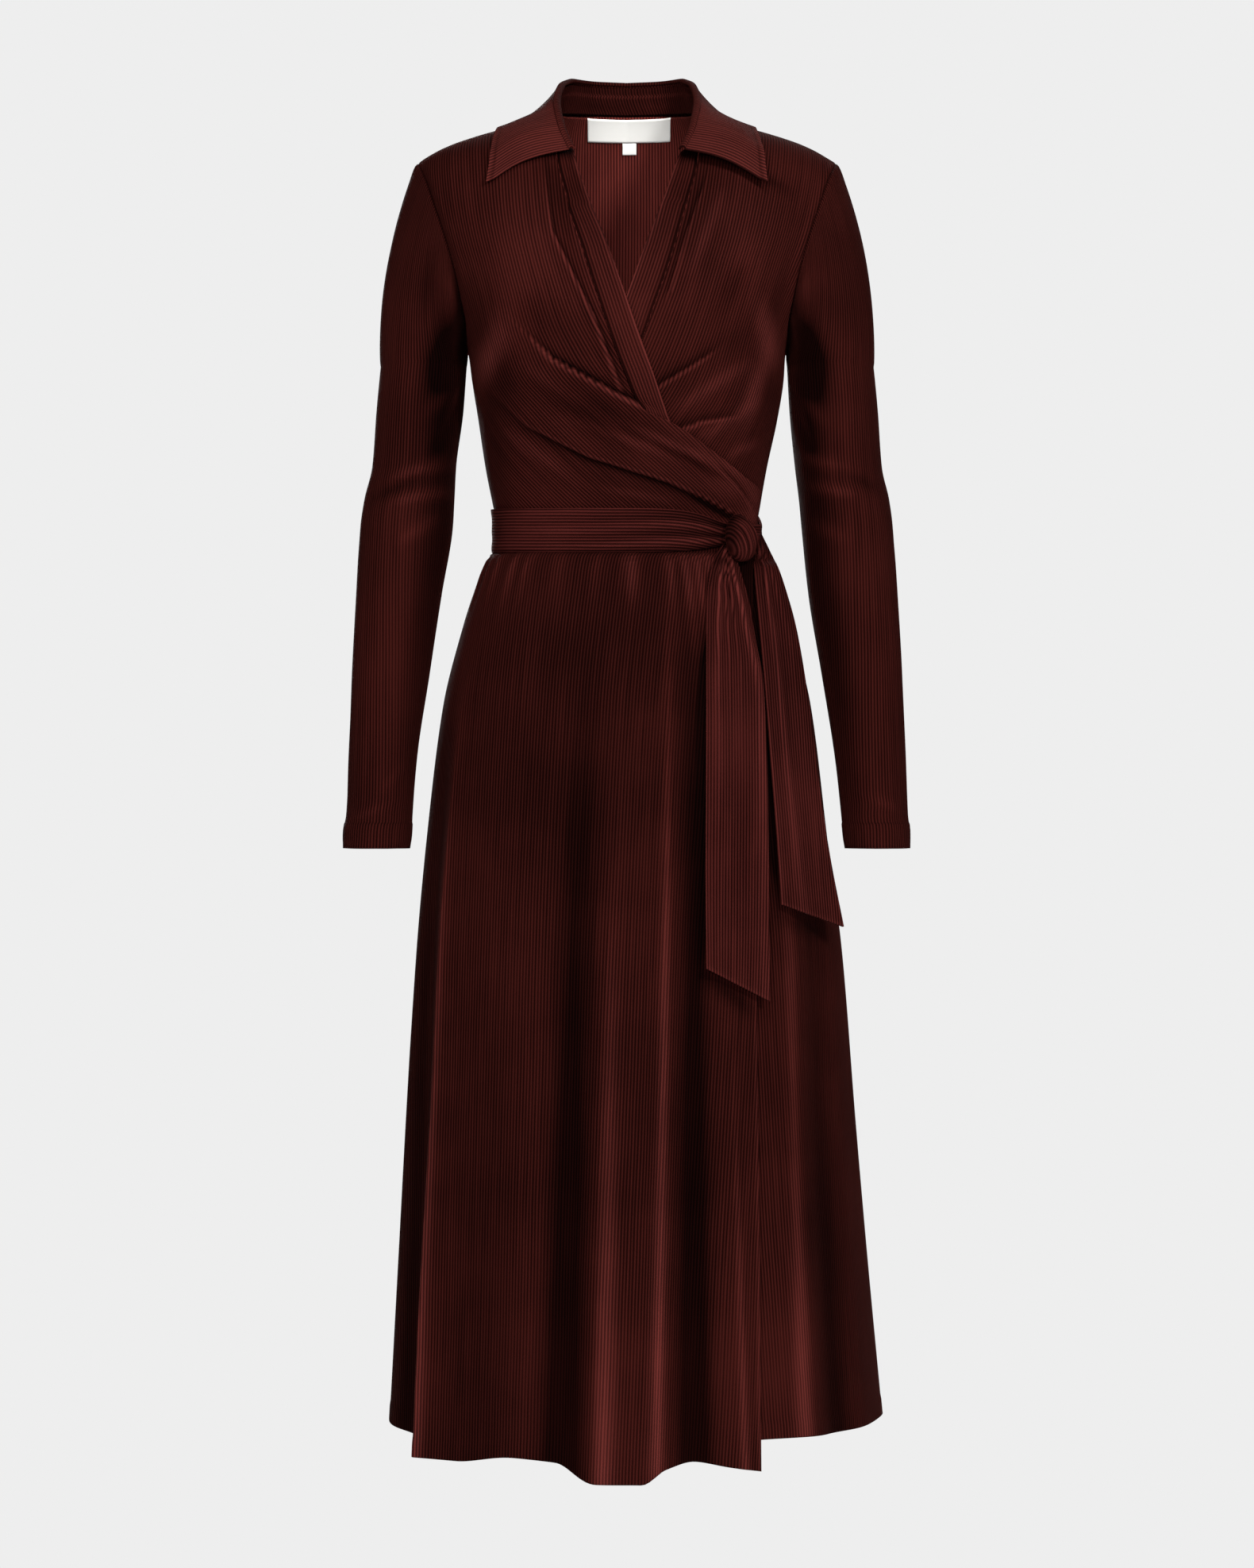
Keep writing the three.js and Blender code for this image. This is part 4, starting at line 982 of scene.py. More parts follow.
OVER_CUT = FrontCut(
    side=Side.WEARER_RIGHT,
    edge=((0, 109, -358), (0.07, 114, -325), (0.13, 100, -313), (0.22, 75, -294), (0.3, 54, -279),
          (0.37, 36, -268), (0.42, 12, -257), (0.5, -3, -228), (0.62, -23, -172), (0.72, -37, -129),
          (0.84, -54, -73), (0.91, -61, -41), (0.95, -63, -20), (1, -62, 9)),
    band_edge=((0.42, 34, -264), (0.5, 19, -222), (0.62, -1, -166), (0.72, -16, -124), (0.84, -33, -77),
               (0.91, -43, -45), (0.96, -46, -28), (1, -47, -16)),
    pleats=(
        Pleat(((-78, -200), (-61, -217), (-34, -232), (0, -250), (38, -266)), 6.5, 24, 6,
              onset=-0.35, full=0.5),
        Pleat(((-120, -236), (-84, -272), (-34, -298), (34, -320), (66, -334), (100, -352)), 4.2, 15, 8,
              upper_on_top=True),
        Pleat(((-73, -38), (-63, -109), (-28, -181), (-5, -241)), 3.8, 7, 5),
        Pleat(((70, -300), (90, -318), (106, -338)), 2.4, 9, 7),
    ),
    # the creases stand out or sink in, with painted light and shade to match; the deep one from (50, -330)
    # to (112, -360) is a painted shadow at the end of the second pleat
    creases=(
        Crease((-96, -215), (30, -300), 1.1, 6.0), Crease((-60, -262), (60, -306), 1.2, 5.0),
        Crease((-20, -262), (84, -308), 1.3, 4.0), Crease((-118, -262), (-30, -330), 0.9, 6.0),
        Crease((-58, -60), (-14, -196), 1.0, 4.0), Crease((-130, -170), (-92, -262), -1.0, 9.0),
        Crease((20, -286), (96, -322), -1.3, 3.5), Crease((-40, -322), (50, -338), 0.8, 4.0),
        Crease((50, -330), (112, -360), -2.4, 3.2),
    ),
    # patches of painted light and painted shade; the dark one at (-60, -26) is a painted shadow under the
    # collar's corner
    patches=(
        Patch((108, -336), (9, 22), 0.8), Patch((64, -286), (34, 13), 0.3, -38),
        Patch((-84, -130), (34, 60), 0.18, 12), Patch((-122, -250), (16, 80), -0.45),
        Patch((-60, -190), (34, 16), -0.3, -30), Patch((98, -300), (20, 24), 0.7, -40),
        Patch((-20, -320), (60, 14), -0.15, -12), Patch((-60, -262), (30, 12), 0.2, -40),
        Patch((-60, -70), (9, 40), -0.3, 20), Patch((-118, -212), (13, 28), 1.8, -20),
        Patch((-60, -26), (12, 9), -1.5), Patch((-21, -264), (36, 13), -0.65, -32),
        Patch((-40, -262), (70, 40), -0.16, -30),
    ),
    slopes=((-400, 1.12), (-240, 1.05), (-200, 0.8), (-150, 0.42), (-110, 0.25), (-50, 0.1), (40, 0.06)),
    columns=128, rows=132,
)
UNDER_CUT = FrontCut(
    side=Side.WEARER_LEFT,
    edge=((0, -70, -358), (0.14, -58, -322), (0.3, -36, -282), (0.45, -8, -240), (0.56, 12, -205),
          (0.63, 21, -180), (0.73, 36, -136), (0.84, 52, -78), (0.91, 61, -41), (0.95, 63, -20), (1, 62, 9)),
    band_edge=((0.42, -30, -238), (0.56, -10, -190), (0.63, -1, -166), (0.73, 14, -124), (0.84, 32, -74),
               (0.91, 42, -44), (0.96, 47, -28), (1, 49, -16)),
    pleats=(
        Pleat(((71, -42), (61, -76), (51, -106), (36, -160)), 3.0, 8, 5),
        Pleat(((80, -206), (59, -221), (28, -240)), 3.2, 18, 9),
        Pleat(((100, -262), (67, -268), (46, -276)), 3.0, 13, 9),
    ),
    # the creases stand out or sink in, with painted light and shade to match; the deep one from (40, -8) to
    # (150, -72) is a painted shadow under the collar's edge
    creases=(
        Crease((84, -62), (52, -150), 0.9, 5.0), Crease((112, -214), (40, -262), 1.1, 6.0),
        Crease((122, -246), (60, -286), 1.2, 5.0), Crease((120, -280), (84, -300), 1.0, 4.0),
        Crease((104, -130), (70, -196), -0.8, 9.0), Crease((40, -8), (150, -72), -2.2, 5.0),
    ),
    # patches of painted light and painted shade; the dark one at (60, -26) is a painted shadow under the
    # collar's corner
    patches=(
        Patch((100, -110), (30, 60), 0.2, -12), Patch((128, -230), (13, 70), -0.5),
        Patch((92, -200), (26, 12), -0.3, 30), Patch((40, -236), (22, 14), -0.2, 20),
        Patch((64, -60), (8, 40), -0.25, -20), Patch((124, -196), (10, 24), 1.5, 10),
        Patch((113, -238), (8, 32), 1.0, -20), Patch((60, -26), (12, 9), -1.5),
    ),
    slopes=((-400, -0.72), (-260, -0.72), (-200, -0.5), (-140, -0.32), (-60, -0.18), (40, -0.06)),
    columns=92, rows=126,
)


@dataclass
class Bodice:
    """The top of the dress: a back, two wrapped fronts and the two turned bands along their edges."""

    form: BodyForm
    layers: Layers
    wall: Wall
    velvet: bpy.types.Material
    armpit_share: float = 0.42
    armpit: tuple = (138.6, -203.0)
    tip: tuple = (184.0, -33.6)
    neck_side: tuple = (62.0, 9.0)
    seam_gap: float = 0.3
    # how much further in the side seam's rim lies, and how far the shoulder seam opens
    side_slack: float = 0.1
    shoulder_slack: float = 1.0
    armhole_rows: int = 12
    band_top: float = 11.0
    # heights between which the folds fade towards the belt
    calm: tuple = (-344.5, -322.5)
    # the folds start this share of the width in from the side seam
    side_calm: float = 0.115
    # the back is set out in an outer part beside the shoulders and a middle part below the neck
    outer_part: float = 1 / 3
    blades: tuple = (62.0, -110.0, 2.2)
    spine: tuple = (-240.0, -2.4)
    armhole: tuple = ((-203, 138.6), (-198, 139.2), (-181, 140), (-154, 145), (-131, 150), (-103, 158),
                      (-70, 169), (-50, 176), (-33.6, 184))
    back_neck: tuple = ((0, 18), (25, 17.5), (45, 15), (55, 12.5), (62, 9))

    def __post_init__(self) -> None:
        """Makes the curves of its tables."""
        self.armhole_x = curves(self.armhole)[0]
        self.back_neck_z = curves(self.back_neck)[0]

    def armhole_z(self, turn: Array) -> Array:
        """Height of the armhole seam: half a cosine wave from the armpit, turn 0, to the tip, turn pi."""
        middle, half = (self.armpit[1] + self.tip[1]) / 2, (self.tip[1] - self.armpit[1]) / 2
        return middle - half * np.cos(turn)

    def rows_below_top(self, v: Array) -> Array:
        """How many of the armhole's rows a share of the panel's height lies below its top."""
        return self.armhole_rows * (1 - v) / (1 - self.armpit_share)

    def side_boundary(self, v: Array, sign: int, back: bool) -> tuple[Array, Array]:
        """Angle and level along the side seam and then the armhole seam.

        Args:
            v: Shares of the panel's height.
            sign: Sign of x.
            back: True for the back panel.

        Returns:
            The angles and the levels.
        """
        start = self.form.waist_z + self.seam_gap / 2
        low_z = mix(start, self.armpit[1], v / self.armpit_share)
        high_z = self.armhole_z(math.pi * np.clip((v - self.armpit_share) / (1 - self.armpit_share), 0, 1))
        x = sign * self.armhole_x(high_z)
        low = v <= self.armpit_share
        angle = np.where(low, sign * math.pi / 2, self.form.angle_of(x, high_z))
        high = np.where(v >= 1, 2.0, self.form.level_of(x, high_z, back))
        return angle, np.where(low, self.form.level_of(0.0, low_z, back), high)

    def side_inset(self, v: Array) -> Array:
        """Angle by which the rim stays back from the side seam."""
        return np.where(v <= self.armpit_share, (self.seam_gap / 2 + self.side_slack) / self.armpit[0], 0.0)

    def rib_shear(self, z: Array, slopes: tuple) -> tuple[Array, Array]:
        """Sideways run of the ribs above each height, and how much that narrows them.

        The run is the integral of the slope from the shoulder down. The ribs keep most of their pitch
        where they lean, by 1 / sqrt(1 + 0.6 slope^2).

        Args:
            z: Heights.
            slopes: Table of the ribs' slope by height.

        Returns:
            The run in millimetres, and the narrowing as a share.
        """
        slope = curves(slopes)[0]
        heights = np.linspace(60, -420, 481)
        run = np.concatenate([[0.0], np.cumsum(0.5 * (slope(heights[:-1]) + slope(heights[1:])))])
        return np.interp(-z, -heights, run), 1.0 / np.sqrt(1.0 + 0.6 * slope(z) ** 2)

    def girth(self, x: Array, z: Array, back: bool) -> Array:
        """Signed length round the form at one height, from the middle to x, in a few straight steps.

        Args:
            x: Distance from the middle.
            z: Height.
            back: True for the back of the body.

        Returns:
            The length in millimetres.
        """
        turns = np.sin(np.linspace(0, math.pi / 2, 14))
        across = x[..., None] * turns
        depth = self.form.depth(across, np.broadcast_to(z[..., None], across.shape), back)
        return np.sign(x) * np.hypot(np.diff(across), np.diff(depth)).sum(axis=-1)

    def front(self, cut: FrontCut) -> None:
        """Builds one front, from its side seam and armhole to its free edge.

        Rows run from the side seam or armhole to the free edge, in even angles and levels of the form.

        Args:
            cut: Its edge, pleats and creases.
        """
        sign = cut.side.value
        v = uneven_steps(cut.rows, (0.004, 0.008), (0.004, 0.009, 0.016))[:, None]
        s = uneven_steps(cut.columns, (0.006, 0.013, 0.02), (0.004, 0.009))[None, :]
        side_angle, side_level = self.side_boundary(v, sign, False)
        edge_x, edge_z = (column(v) for column in curves(cut.edge))
        edge_z = np.where(v == 0, self.form.waist_z + self.seam_gap / 2, edge_z)
        free_level = np.where(v >= 1, 2.0, self.form.level_of(edge_x, edge_z, False))
        angle = mix(side_angle, self.form.angle_of(edge_x, edge_z), s) - sign * self.side_inset(v) * (1 - s)
        points = self.form.bodice(angle, mix(side_level, free_level, s), False)
        x, z = points[..., 0], points[..., 2]
        around = self.girth(x, z, False)
        folds = (cut.lift(x, z) + Hills(11 + sign)(around, z)) * smooth(*self.calm, z)
        rows_left = self.rows_below_top(v)
        amount = (self.layers.of(cut.side, self.form.angle_of(x, z)) + folds) * smooth(0, 2, rows_left)
        from_side = arc_lengths(points, 1)
        amount = amount * smooth(0, self.side_calm, s) + along_seam(from_side)
        points = lift_outward(points, amount, self.form.waist_z)
        points[..., 1] -= self.shoulder_slack * np.clip(1.0 - rows_left, 0.0, 1.0)
        run, narrow = self.rib_shear(z, cut.slopes)
        weave = np.stack([(around - run) * narrow, -z], axis=-1)
        Shell(f"{cut.side.word}_front_bodice", points, weave, self.wall.bodice, seam=seam_mask(from_side),
              painted_light=cut.painted_light(x, z), reverse=True).build(self.velvet)

    def band(self, cut: FrontCut) -> None:
        """Builds the turned band of one front, between that front's edge and its own free edge.

        Its lower end is tucked down along the wrap, by up to 9 mm. It puffs out as sqrt(sin) across.

        Args:
            cut: The front's edge and the band's.
        """
        sign = -cut.side.value
        reach = self.band_top / self.armhole_rows
        t = np.concatenate([[-0.06, -0.045, -0.03, -0.015], uneven_steps(104, (0.01, 0.02))])[:, None]
        s = uneven_steps(12, (0.04,), (0.03,))[None, :]
        v = mix(self.armpit_share, 1.0, np.maximum(t, 0.0) * reach)
        seam_x, seam_z = (column(v) for column in curves(cut.edge))
        free_x, free_z = (column(v) for column in curves(cut.band_edge))
        x = mix(seam_x + sign * 1.1, free_x, s)
        z = mix(seam_z, free_z, s)
        layer = self.layers.of(cut.side, self.form.angle_of(x, z))
        pleats = sum(pleat.lift(x - sign * 2, z + 1.4) for pleat in cut.pleats) * smooth(1.5, 0, s)
        tuck = np.maximum(-t, 0.0) * 150
        x, z = x + sign * 0.46 * tuck, z - 0.89 * tuck
        points = np.stack([x, self.form.depth(x, z), z], axis=-1)
        puff = 0.9 * np.sin(math.pi * np.clip(s, 0, 1)) ** 0.5 - 0.2
        amount = (layer + 0.8 + pleats + puff) * smooth(0, 2, self.rows_below_top(v))
        points = lift_outward(points, amount, self.form.waist_z)
        seam = np.broadcast_to(0.5 * sewn_line(arc_lengths(points, 1), 0.0, 1.4), x.shape)
        # painted highlight along the free edge, painted shade at the seam, painted shadow under the collar,
        # and a little painted light lower down
        painted_light = 0.7 * bell(s - 0.97, 0.06) - 0.8 * bell(s, 0.1) - 1.3 * smooth(-46, -29, z)
        painted_light = painted_light + 0.18 * smooth(-60, -100, z)
        Shell(f"{cut.side.word}_front_band", points, plain_weave(points), self.wall.band, seam=seam,
              painted_light=painted_light).build(self.velvet)

    def back(self) -> None:
        """Builds the back, from side seam to side seam and up to the neck and the shoulders.

        It stands out over the shoulder blades and sinks in along the spine, as bells.
        """
        v = uneven_steps(112, (0.004, 0.008), (0.004, 0.01, 0.02))[:, None]
        s = uneven_steps(124, (0.005, 0.01, 0.016), (0.005, 0.01, 0.016))[None, :]
        sign, outward = np.where(s < 0.5, -1.0, 1.0), np.abs(s - 0.5) * 2
        side_angle, side_level = self.side_boundary(v, 1, True)
        half = self.form.half_width(1.0, self.neck_side[1])
        neck_angle = math.asin((self.neck_side[0] / float(half)) ** (self.form.power / 2))
        part = self.outer_part
        corner = mix(side_angle * (1 - part), neck_angle, v)
        outer = mix(corner, side_angle - self.side_inset(v), (outward - 1 + part) / part)
        angle = np.where(outward > 1 - part, outer, corner * outward / (1 - part))
        x = np.abs(self.form.bodice(angle, np.full_like(angle, 2.0), True)[..., 0])
        x = np.minimum(self.neck_side[0], x)
        at_neck = self.form.level_of(x, self.back_neck_z(x), True)
        top = np.where(x >= self.neck_side[0] - 0.01, 2.0, at_neck)
        level = side_level * mix(1.0, top / 2, smooth(self.armpit_share, 1, v))
        points = self.form.bodice(sign * angle, level, True)
        z = points[..., 2]
        around = self.girth(points[..., 0], z, True)
        hills = Hills(31, (34.0, 90.0), 0.7)(around, z) * smooth(-344, -322, z) * smooth(0, 0.12, 1 - v)
        width = arc_lengths(points, 1)
        from_side = np.minimum(width, width[:, -1:] - width)
        hills = hills * np.clip(from_side / 20, 0, 1) + along_seam(from_side)
        blade_x, blade_z, blade_height = self.blades
        spine_z, spine_height = self.spine
        blade = bell(np.abs(around) - blade_x, 26) * bell(z - blade_z, 60)
        blades = blade_height * blade * smooth(0, 0.12, 1 - v)
        spine = spine_height * bell(around, 20) * bell(z - spine_z, 80)
        points = lift_outward(points, hills + blades + spine, self.form.waist_z)
        points[..., 1] += self.shoulder_slack * np.clip(1.0 - self.rows_below_top(v), 0.0, 1.0)
        # painted light on the shoulder blades and painted shade along the spine
        painted_light = 0.35 * blade - 0.35 * bell(around, 12) * bell(z - spine_z, 90)
        Shell("back_bodice", points, np.stack([around, -z], axis=-1), self.wall.bodice,
              seam=seam_mask(from_side), painted_light=painted_light, reverse=True).build(self.velvet)

    def armhole_point(self, turn: Array, sign: int) -> Array:
        """Point of the armhole seam: turn 0 is the armpit, a quarter turn the front, half the top.

        Args:
            turn: Angles round the armhole, in radians.
            sign: Sign of x.

        Returns:
            Points in millimetres on the plain form.
        """
        z = self.armhole_z(turn)
        x = self.armhole_x(z)
        front, back = self.form.depth(x, z, False), self.form.depth(x, z, True)
        y = np.where(np.abs(np.sin(turn)) < 1e-6, 0.0, np.where(np.sin(turn) < 0, back, front))
        return np.stack([sign * x, y, z], axis=-1)


@dataclass(frozen=True)
class SleeveCut:
    """Sections of one sleeve: height, outer and inner line from the middle, half depth and middle of y."""

    side: Side
    sections: tuple
    creases: tuple


RIGHT_SLEEVE = SleeveCut(Side.WEARER_RIGHT, (
    (-212, 216, 142.2, 53, 1), (-250, 219.5, 144.8, 52, -1), (-301, 223.8, 151.6, 50, -4),
    (-329, 230.6, 153, 48, -6), (-353, 234, 154.3, 47, -8), (-412, 237, 163.8, 44, -13),
    (-483, 239.8, 173.8, 39, -22), (-553, 241.9, 183.6, 36, -33), (-605, 243.4, 187.6, 35, -42),
    (-622, 245.6, 188.4, 35, -45), (-635, 245.7, 189.8, 35, -47)), (
    Crease((20, -296), (128, -318), 1.5, 7), Crease((18, -322), (118, -336), 1.3, 6),
    Crease((60, -310), (150, -334), -1.3, 6), Crease((8, -214), (88, -262), 1.6, 9),
    Crease((12, -232), (70, -300), -1.2, 8), Crease((40, -345), (100, -372), 0.9, 7),
    Crease((60, -596), (150, -612), 0.7, 5), Crease((40, -560), (96, -590), 0.6, 6),
    Crease((-120, -300), (-30, -322), 1.2, 7), Crease((-140, -340), (-60, -330), 1.0, 7),
    Crease((84, -130), (60, -190), 1.4, 8), Crease((110, -110), (96, -180), -1.0, 9)))
LEFT_SLEEVE = SleeveCut(Side.WEARER_LEFT, (
    (-212, 216.4, 141.8, 53, 1), (-250, 219.8, 143.8, 52, -1), (-301, 223.4, 148.6, 50, -4),
    (-329, 229.6, 151.9, 48, -6), (-353, 232.8, 154, 47, -8), (-412, 236.6, 159.8, 44, -13),
    (-483, 240.5, 171.7, 39, -22), (-553, 241.9, 181.6, 36, -33), (-605, 243.4, 187.4, 35, -42),
    (-622, 245, 189.1, 35, -45), (-635, 245, 190.5, 35, -47)), (
    Crease((22, -290), (120, -314), 1.4, 7), Crease((26, -318), (112, -330), 1.3, 6),
    Crease((64, -302), (150, -326), -1.2, 6), Crease((10, -216), (80, -270), 1.5, 9),
    Crease((30, -350), (92, -370), 0.8, 7), Crease((14, -236), (66, -306), -1.1, 8),
    Crease((70, -590), (150, -604), 0.6, 5), Crease((-110, -296), (-26, -318), 1.2, 7),
    Crease((-150, -336), (-70, -324), 0.9, 7), Crease((86, -126), (64, -186), 1.3, 8)))


@dataclass
class Sleeve:
    """A long set-in sleeve that hangs beside the body, tapered to its turned cuff edge."""

    bodice: Bodice
    cut: SleeveCut
    # share of the rows that the sleeve's head takes, and how far the head bulges out
    head_share: float = 0.3
    bulge: float = 10.0
    # distance from the armhole seam, outside and under the arm
    clearance: tuple = (1.0, 2.2)
    hem_turn: float = 22.0
    head_rows: int = 46
    arm_rows: int = 110
    columns: int = 96
    # the seam allowance inside the armhole: how far in from the seam, and how far towards the body
    allowance: tuple = ((2.7, 5.0), (2.5, 1.2), (1.3, 0.0))
    folding: float = 1.7

    def __post_init__(self) -> None:
        """Makes the curves of its sections."""
        self.outer, self.inner, self.depth, self.middle = curves(self.cut.sections)

    def ring(self, turn: Array, z: Array) -> Array:
        """Point of the hanging part: an ellipse between the inner and the outer line.

        Args:
            turn: Angles round the sleeve, 0 towards the body.
            z: Heights.

        Returns:
            Points in millimetres.
        """
        sign = self.cut.side.value
        centre = (self.outer(z) + self.inner(z)) / 2
        half = (self.outer(z) - self.inner(z)) / 2
        x, y = sign * (centre - half * np.cos(turn)), self.middle(z) - self.depth(z) * np.sin(turn)
        return np.stack(np.broadcast_arrays(x, y, z), axis=-1)

    def plain(self, turn: Array, v: Array) -> Array:
        """The sleeve without its folds: a head blended from the armhole seam to the top ring, then rings.

        Args:
            turn: Angles round the sleeve.
            v: Shares of the sleeve's rows.

        Returns:
            Points in millimetres.
        """
        sign, share = self.cut.side.value, self.head_share
        top, bottom = self.cut.sections[0][0], self.cut.sections[-1][0]
        arm = self.ring(turn, mix(top, bottom, np.clip((v - share) / (1 - share), 0, 1)))
        part = np.clip(v / share, 0, 1)
        seam = self.bodice.armhole_point(turn, sign)
        seam[..., 0] += sign * mix(*self.clearance, smooth(0.2, 0.9, np.cos(turn)))
        head = mix(seam, self.ring(turn, np.full_like(turn, top)), part[..., None])
        head[..., 0] += sign * self.bulge * np.sin(math.pi * part) ** 0.8 * np.maximum(0.0, -np.cos(turn))
        return np.where((v > share)[..., None], arm, head)

    def build(self) -> None:
        """Builds the sleeve as a ring of rows, from the armhole seam over its head and down to the cuff."""
        sign, share = self.cut.side.value, self.head_share
        v = np.concatenate([np.linspace(0, share, self.head_rows)[:-1], [0.003, 0.008, 0.015],
                            share + (1 - share) * np.linspace(0, 1, self.arm_rows),
                            1 - np.array([0.0345, 0.0375, 0.036])])
        v = np.unique(v)[:, None]
        turn = np.linspace(0, 2 * math.pi, self.columns + 1)[None, :-1]
        points = self.plain(turn, v)
        around = np.degrees((turn + math.pi) % (2 * math.pi) - math.pi)
        z = points[..., 2]
        spread = np.broadcast_to(around, z.shape)
        folds = self.folding * sum(crease.lift(spread, z) for crease in self.cut.creases)
        hills = Hills(51 + sign, (22.0, 80.0), 0.7)(around, z)
        from_seam = arc_lengths(points, 0)
        from_hem = from_seam[-1:] - from_seam
        pucker = 0.5 * np.cos(turn * 34) * bell(from_seam - 5, 7) * smooth(0.0, -0.6, np.cos(turn))
        settled = smooth(0, 14, from_seam) * smooth(0, 10, from_hem)
        turned = 0.5 * smooth(self.hem_turn + 1, self.hem_turn - 1, from_hem)
        amount = (folds + hills) * settled + pucker + turned + along_seam(from_seam, 2.4, 0.5)
        outward = grid_normals(points, True)
        inward = np.sum(outward * (points - points.mean(axis=1, keepdims=True)), axis=-1, keepdims=True) < 0
        points = points + np.where(inward, -outward, outward) * amount[..., None]

        rim = points[:1]
        to_middle = unit(rim.mean(axis=1, keepdims=True) - rim)
        to_body = np.array([-sign, 0.0, 0.0])
        allowance = [rim + inner * to_middle + side * to_body for inner, side in self.allowance]
        points = np.concatenate([*allowance, points])
        loop = closed(points)
        width = arc_lengths(loop, 1)
        half = self.columns // 2
        weave = np.stack([width - width[:, half:half + 1], arc_lengths(loop, 0)], axis=-1)
        mask = np.maximum(seam_mask(from_seam), 0.35 * sewn_line(from_hem, self.hem_turn, 1.2))
        # painted light and shade on the creases, painted shade towards the body, under the arm and round the
        # armpit
        painted_light = 0.26 * folds * settled - 0.9 * smooth(0.0, 0.9, np.cos(turn)) * smooth(-760, -300, z) - 0.14
        painted_light = painted_light - 1.1 * bell(z + 212, 46) * smooth(-0.25, 0.5, np.cos(turn))
        pad = ((len(self.allowance), 0), (0, 0))
        Shell(f"{self.cut.side.word}_sleeve", points, weave, self.bodice.wall.sleeve, ring=True,
              seam=np.pad(mask, pad, mode="edge"), painted_light=np.pad(painted_light, pad, mode="edge"),
              reverse=True).build(self.bodice.velvet)


@dataclass(frozen=True)
class CollarCut:
    """Half of the collar from the middle of the back, share 0, to its front end, share 1: share, x, y, z."""

    seam: tuple = ((0, 0, 57.5, 19.2), (0.18, 27, 51.5, 19), (0.34, 48.5, 32, 16.2), (0.5, 60.6, 6, 11.2),
                   (0.68, 60.8, -26, -6), (0.86, 57, -53, -28), (1, 47, -55.5, -30))
    fold: tuple = ((0, 0, 62, 46.8), (0.18, 29, 56, 47), (0.34, 48, 37, 46), (0.42, 54, 25, 42.5),
                   (0.5, 58, 11, 37.5), (0.68, 61.5, -18, 19), (0.86, 57, -46, -8), (1, 48, -61, -30))
    edge: tuple = ((0, 0, 84, -4), (0.18, 42, 79, -6.5), (0.34, 82, 58, -9), (0.5, 106.7, 22, -1.5),
                   (0.59, 110.8, -1.5, -1.8), (0.68, 113, -26, -6.2), (0.86, 118, -66, -31.5),
                   (1, 121, -87, -62))


